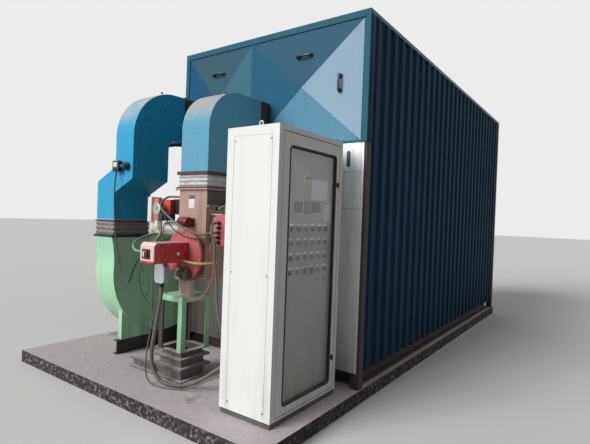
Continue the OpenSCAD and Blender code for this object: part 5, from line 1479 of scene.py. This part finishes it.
def dressCabinet(v):
    x = v["front"]
    path = leafLoop(v["window"], 4, v["corner"] + 4, 8, x - 1.0)
    gasket = swept("windowGasket", v["gasket"], path, (1, 0, 0), sharp=60)
    fit(gasket, "cabinet_door", "blackRubber", body="door")
    for name, (section, beyond, behind) in v["recessSeals"].items():
        path = leafLoop(v["leaf"], beyond, 3, 3, x - behind)
        fit(swept(name, section, path, (1, 0, 0)), "cabinet_shell", "blackRubber")
    fit(roundedBoxes("recessLiner", [v["recessLiner"]], 0.8, 2), "cabinet_shell", "boilerPlate")
    screws = [(a, v["side"], b) for a, b in v["screws"]]
    fit(turned("sideScrews", v["screw"], screws, (0, -1, 0), 16), "cabinet_shell", "zincBolt")
    for k, (y, z) in enumerate(v["locks"]):
        fit(turned(f"lockBase{k + 1}", v["lock"], (x, y, z), (1, 0, 0), 32), "door_locks", body="door",
            replace=k == 0)
        wing = [((x + 5, y - 6, z - 26), (x + 14, y + 6, z + 10))]
        fit(roundedBoxes(f"lockWing{k + 1}", wing, 4, 4), "door_locks", body="door")


def dressFittings(v):
    top, r = v["top"], v["eyeRadius"]
    angle = np.radians(np.linspace(0, 360, 33))
    ends = ((0, 0, 1), (0, 0, 1))
    for k, (x, y) in enumerate(v["eyes"]):
        ring = np.stack([x + r * np.cos(angle), np.full(33, y), top + v["eyeHeight"] + r * np.sin(angle)], -1)
        eye = tube(f"liftingEye{k + 1}", site(ring), v["eyeWire"] / 1000, 12, up=(0, 1, 0), ends=ends)
        fit(eye, "cabinet_fittings", "plateWhite", replace=k == 0)
        fit(turned(f"eyeCollar{k + 1}", v["collar"], (x, y, top), (0, 0, 1), 28), "cabinet_fittings")
    for k, (y, z, s, shoulder, end) in enumerate(v["rearGlands"]):
        gland = [(0, -2), (s, -2), (s, 9), (s * 0.9, 11), (s * 0.9, shoulder), (s * 0.75, end), (0, end)]
        rear = turned(f"rearGland{k + 1}", gland, (v["rear"], y, z), (-1, 0, 0), 6)
        fit(rear, "cabinet_fittings", "black_plastic")


deviceValues = {
    "plate": -172,
    "rows": (-771, 89, 6, 1311, 102, 4),  # first, step and count across, then first, step and count down
    "bezel": [(0, 0), (19, 0), (19, 3), (17, 5), (13, 5), (13, 4), (0, 4)],
    "cap": [(0, 3), (14, 3), (14, 13), (11, 16), (0, 16)],
    "small": [(-416, 924), (-322, 920)], "smallKnob": [(0, 0), (9, 0), (9, 5), (6, 8), (0, 8)],
    "switch": (-602, 1682), "switchRing": [(0, 3), (20, 3), (20, 8), (17, 10), (0, 10)],
    # left, width, bottom, height and finish of each view
    "meters": [(-743, 92, 1427, 76, "greenLens"), (-618, 81, 1420, 99, "meterGrey"),
               (-516, 95, 1434, 77, "greenLens")],
    "papers": [(-535, -309, 1529, 1678, "paper"), (-352, -241, 1366, 1503, "paperBlue")],
}


def dressButtons(v):
    x = v["plate"]
    y0, dy, ny, z0, dz, nz = v["rows"]
    places = np.array([(x, y0 + dy * i, z0 - dz * j) for j in range(nz) for i in range(ny)])
    fit(turned("buttonBezels", v["bezel"], places, (1, 0, 0), 28), "panel_buttons", replace=True)
    lamps, keys = [ny - 2, ny - 1], [3 * ny + 2, 3 * ny + 3]
    plain = [k for k in range(len(places)) if k not in lamps + keys]
    fit(turned("buttonCaps", v["cap"], places[plain], (1, 0, 0), 24), "panel_buttons", "black_plastic")
    fit(turned("lampCaps", v["cap"], places[lamps], (1, 0, 0), 24), "panel_buttons", "redLens")
    marks = [((x + 15.5, y - 1.5, z - 1), (x + 17, y + 1.5, z + 10)) for y, z in places[plain, 1:]]
    fit(roundedBoxes("buttonMarks", marks, 0.5, 2), "panel_buttons", "plateWhite")
    tags = [((x, y - 17, z + 24), (x + 1.5, y + 17, z + 36)) for y, z in places[:, 1:]]
    fit(roundedBoxes("buttonTags", tags, 0.6, 2), "panel_buttons", "plateWhite")
    tall = [((x, y - 15, z - 27), (x + 14, y + 15, z + 27)) for y, z in places[keys, 1:]]
    fit(softened(roundedBoxes("keySwitches", tall, 4, 3), 1, 1), "panel_buttons", "black_plastic")


def dressDevices(v):
    x = v["plate"]
    small = [(x, y, z) for y, z in v["small"]]
    fit(turned("smallKnobs", v["smallKnob"], small, (1, 0, 0), 20), "panel_buttons")
    y, z = v["switch"]
    square = roundedBoxes("switchSquare", [((x, y - 28, z - 28), (x + 4, y + 28, z + 28))], 4, 3)
    fit(softened(square, 1, 1), "panel_buttons", "yellowPlate")
    fit(turned("switchRing", v["switchRing"], (x, y, z), (1, 0, 0), 36), "panel_buttons", "redLens")
    grip = [((x + 8, y - 16, z - 8), (x + 22, y + 50, z + 8))]
    fit(roundedBoxes("switchGrip", grip, 5, 4), "panel_buttons", "redLens")
    for k, (y, w, z, h, finish) in enumerate(v["meters"]):
        case = roundedBoxes(f"meterCase{k + 1}", [((x, y, z), (x + 12, y + w, z + h))], 4, 3)
        fit(softened(case, 1, 1), "panel_meters", replace=k == 0)
        view = [((x + 11, y + 12, z + h * 0.45), (x + 13, y + w - 12, z + h - 12))]
        fit(roundedBoxes(f"meterView{k + 1}", view, 1, 2), "panel_meters", finish)
        starts = [y + 14 + i * (w - 40) / 2 for i in range(3)]
        keys = [((x + 11, start, z + 12), (x + 14, start + 10, z + 20)) for start in starts]
        fit(roundedBoxes(f"meterKeys{k + 1}", keys, 1.5, 2), "panel_meters", "meterGrey")
    for k, (y0, y1, z0, z1, finish) in enumerate(v["papers"]):
        fit(roundedBoxes(f"paperSheet{k + 1}", [((x + 1, y0, z0), (x + 2.4, y1, z1))], 0.5, 2),
            "device_plate", finish)


dressCabinet(cabinetValues)
dressFittings(cabinetValues)
dressButtons(deviceValues)
dressDevices(deviceValues)
print("cabinet dressed")

# a small studio: pale floor, soft light from the front left
studio = {
    "floorSize": 60, "floorColour": (226, 224, 222), "bounceColour": (122, 118, 116), "floorRough": 0.9,
    "world": 0.25, "backdrop": (236, 236, 236),
    # strength, softness in degrees and where it comes from
    "lamps": {"windowLight": (2.25, 32, (-0.38, -1.0, 0.68)), "lowLight": (1.0, 35, (-0.3, -1.0, 0.15))},
}


def seenDirectly(tree):
    # 1 for a ray from the camera, through glass or off a mirror, 0 for light on its way between surfaces
    path = tree.nodes.new("ShaderNodeLightPath")
    seen = mathNode(tree, "MAXIMUM", path.outputs["Is Camera Ray"], path.outputs["Is Transmission Ray"])
    return mathNode(tree, "MAXIMUM", seen, path.outputs["Is Glossy Ray"])


def makeFloor(v):
    size = v["floorSize"]
    floor = newPiece("floor", [(-size, -size, 0), (size, -size, 0), (size, size, 0), (-size, size, 0)],
                     [(0, 1, 2, 3)])
    material, tree, shader = newMaterial("floorPaint")[:3]
    colour = mixColour(tree, seenDirectly(tree), rgb(*v["bounceColour"]), rgb(*v["floorColour"]))
    tree.links.new(colour, shader.inputs["Base Color"])
    shader.inputs["Roughness"].default_value = v["floorRough"]
    floor.data.materials.append(material)


def makeStudio(v):
    makeFloor(v)
    world = bpy.data.worlds.new("studio")
    bpy.context.scene.world = world
    world.use_nodes = True
    t = world.node_tree
    plain = t.nodes["Background"]
    plain.inputs["Color"].default_value = (1, 1, 1, 1)
    plain.inputs["Strength"].default_value = v["world"]
    backdrop = t.nodes.new("ShaderNodeBackground")
    backdrop.inputs["Color"].default_value = (*rgb(*v["backdrop"]), 1)
    mix = t.nodes.new("ShaderNodeMixShader")
    t.links.new(seenDirectly(t), mix.inputs[0])
    t.links.new(plain.outputs[0], mix.inputs[1])
    t.links.new(backdrop.outputs[0], mix.inputs[2])
    t.links.new(mix.outputs[0], t.nodes["World Output"].inputs[0])
    for name, (strength, softness, origin) in v["lamps"].items():
        sun = bpy.data.lights.new(name, "SUN")
        sun.energy = strength
        sun.angle = math.radians(softness)
        lamp = bpy.data.objects.new(name, sun)
        bpy.context.scene.collection.objects.link(lamp)
        lamp.rotation_euler = Vector(origin).to_track_quat("Z", "Y").to_euler()


makeStudio(studio)
bpy.context.scene.view_settings.view_transform = "Standard"
print("studio lit")
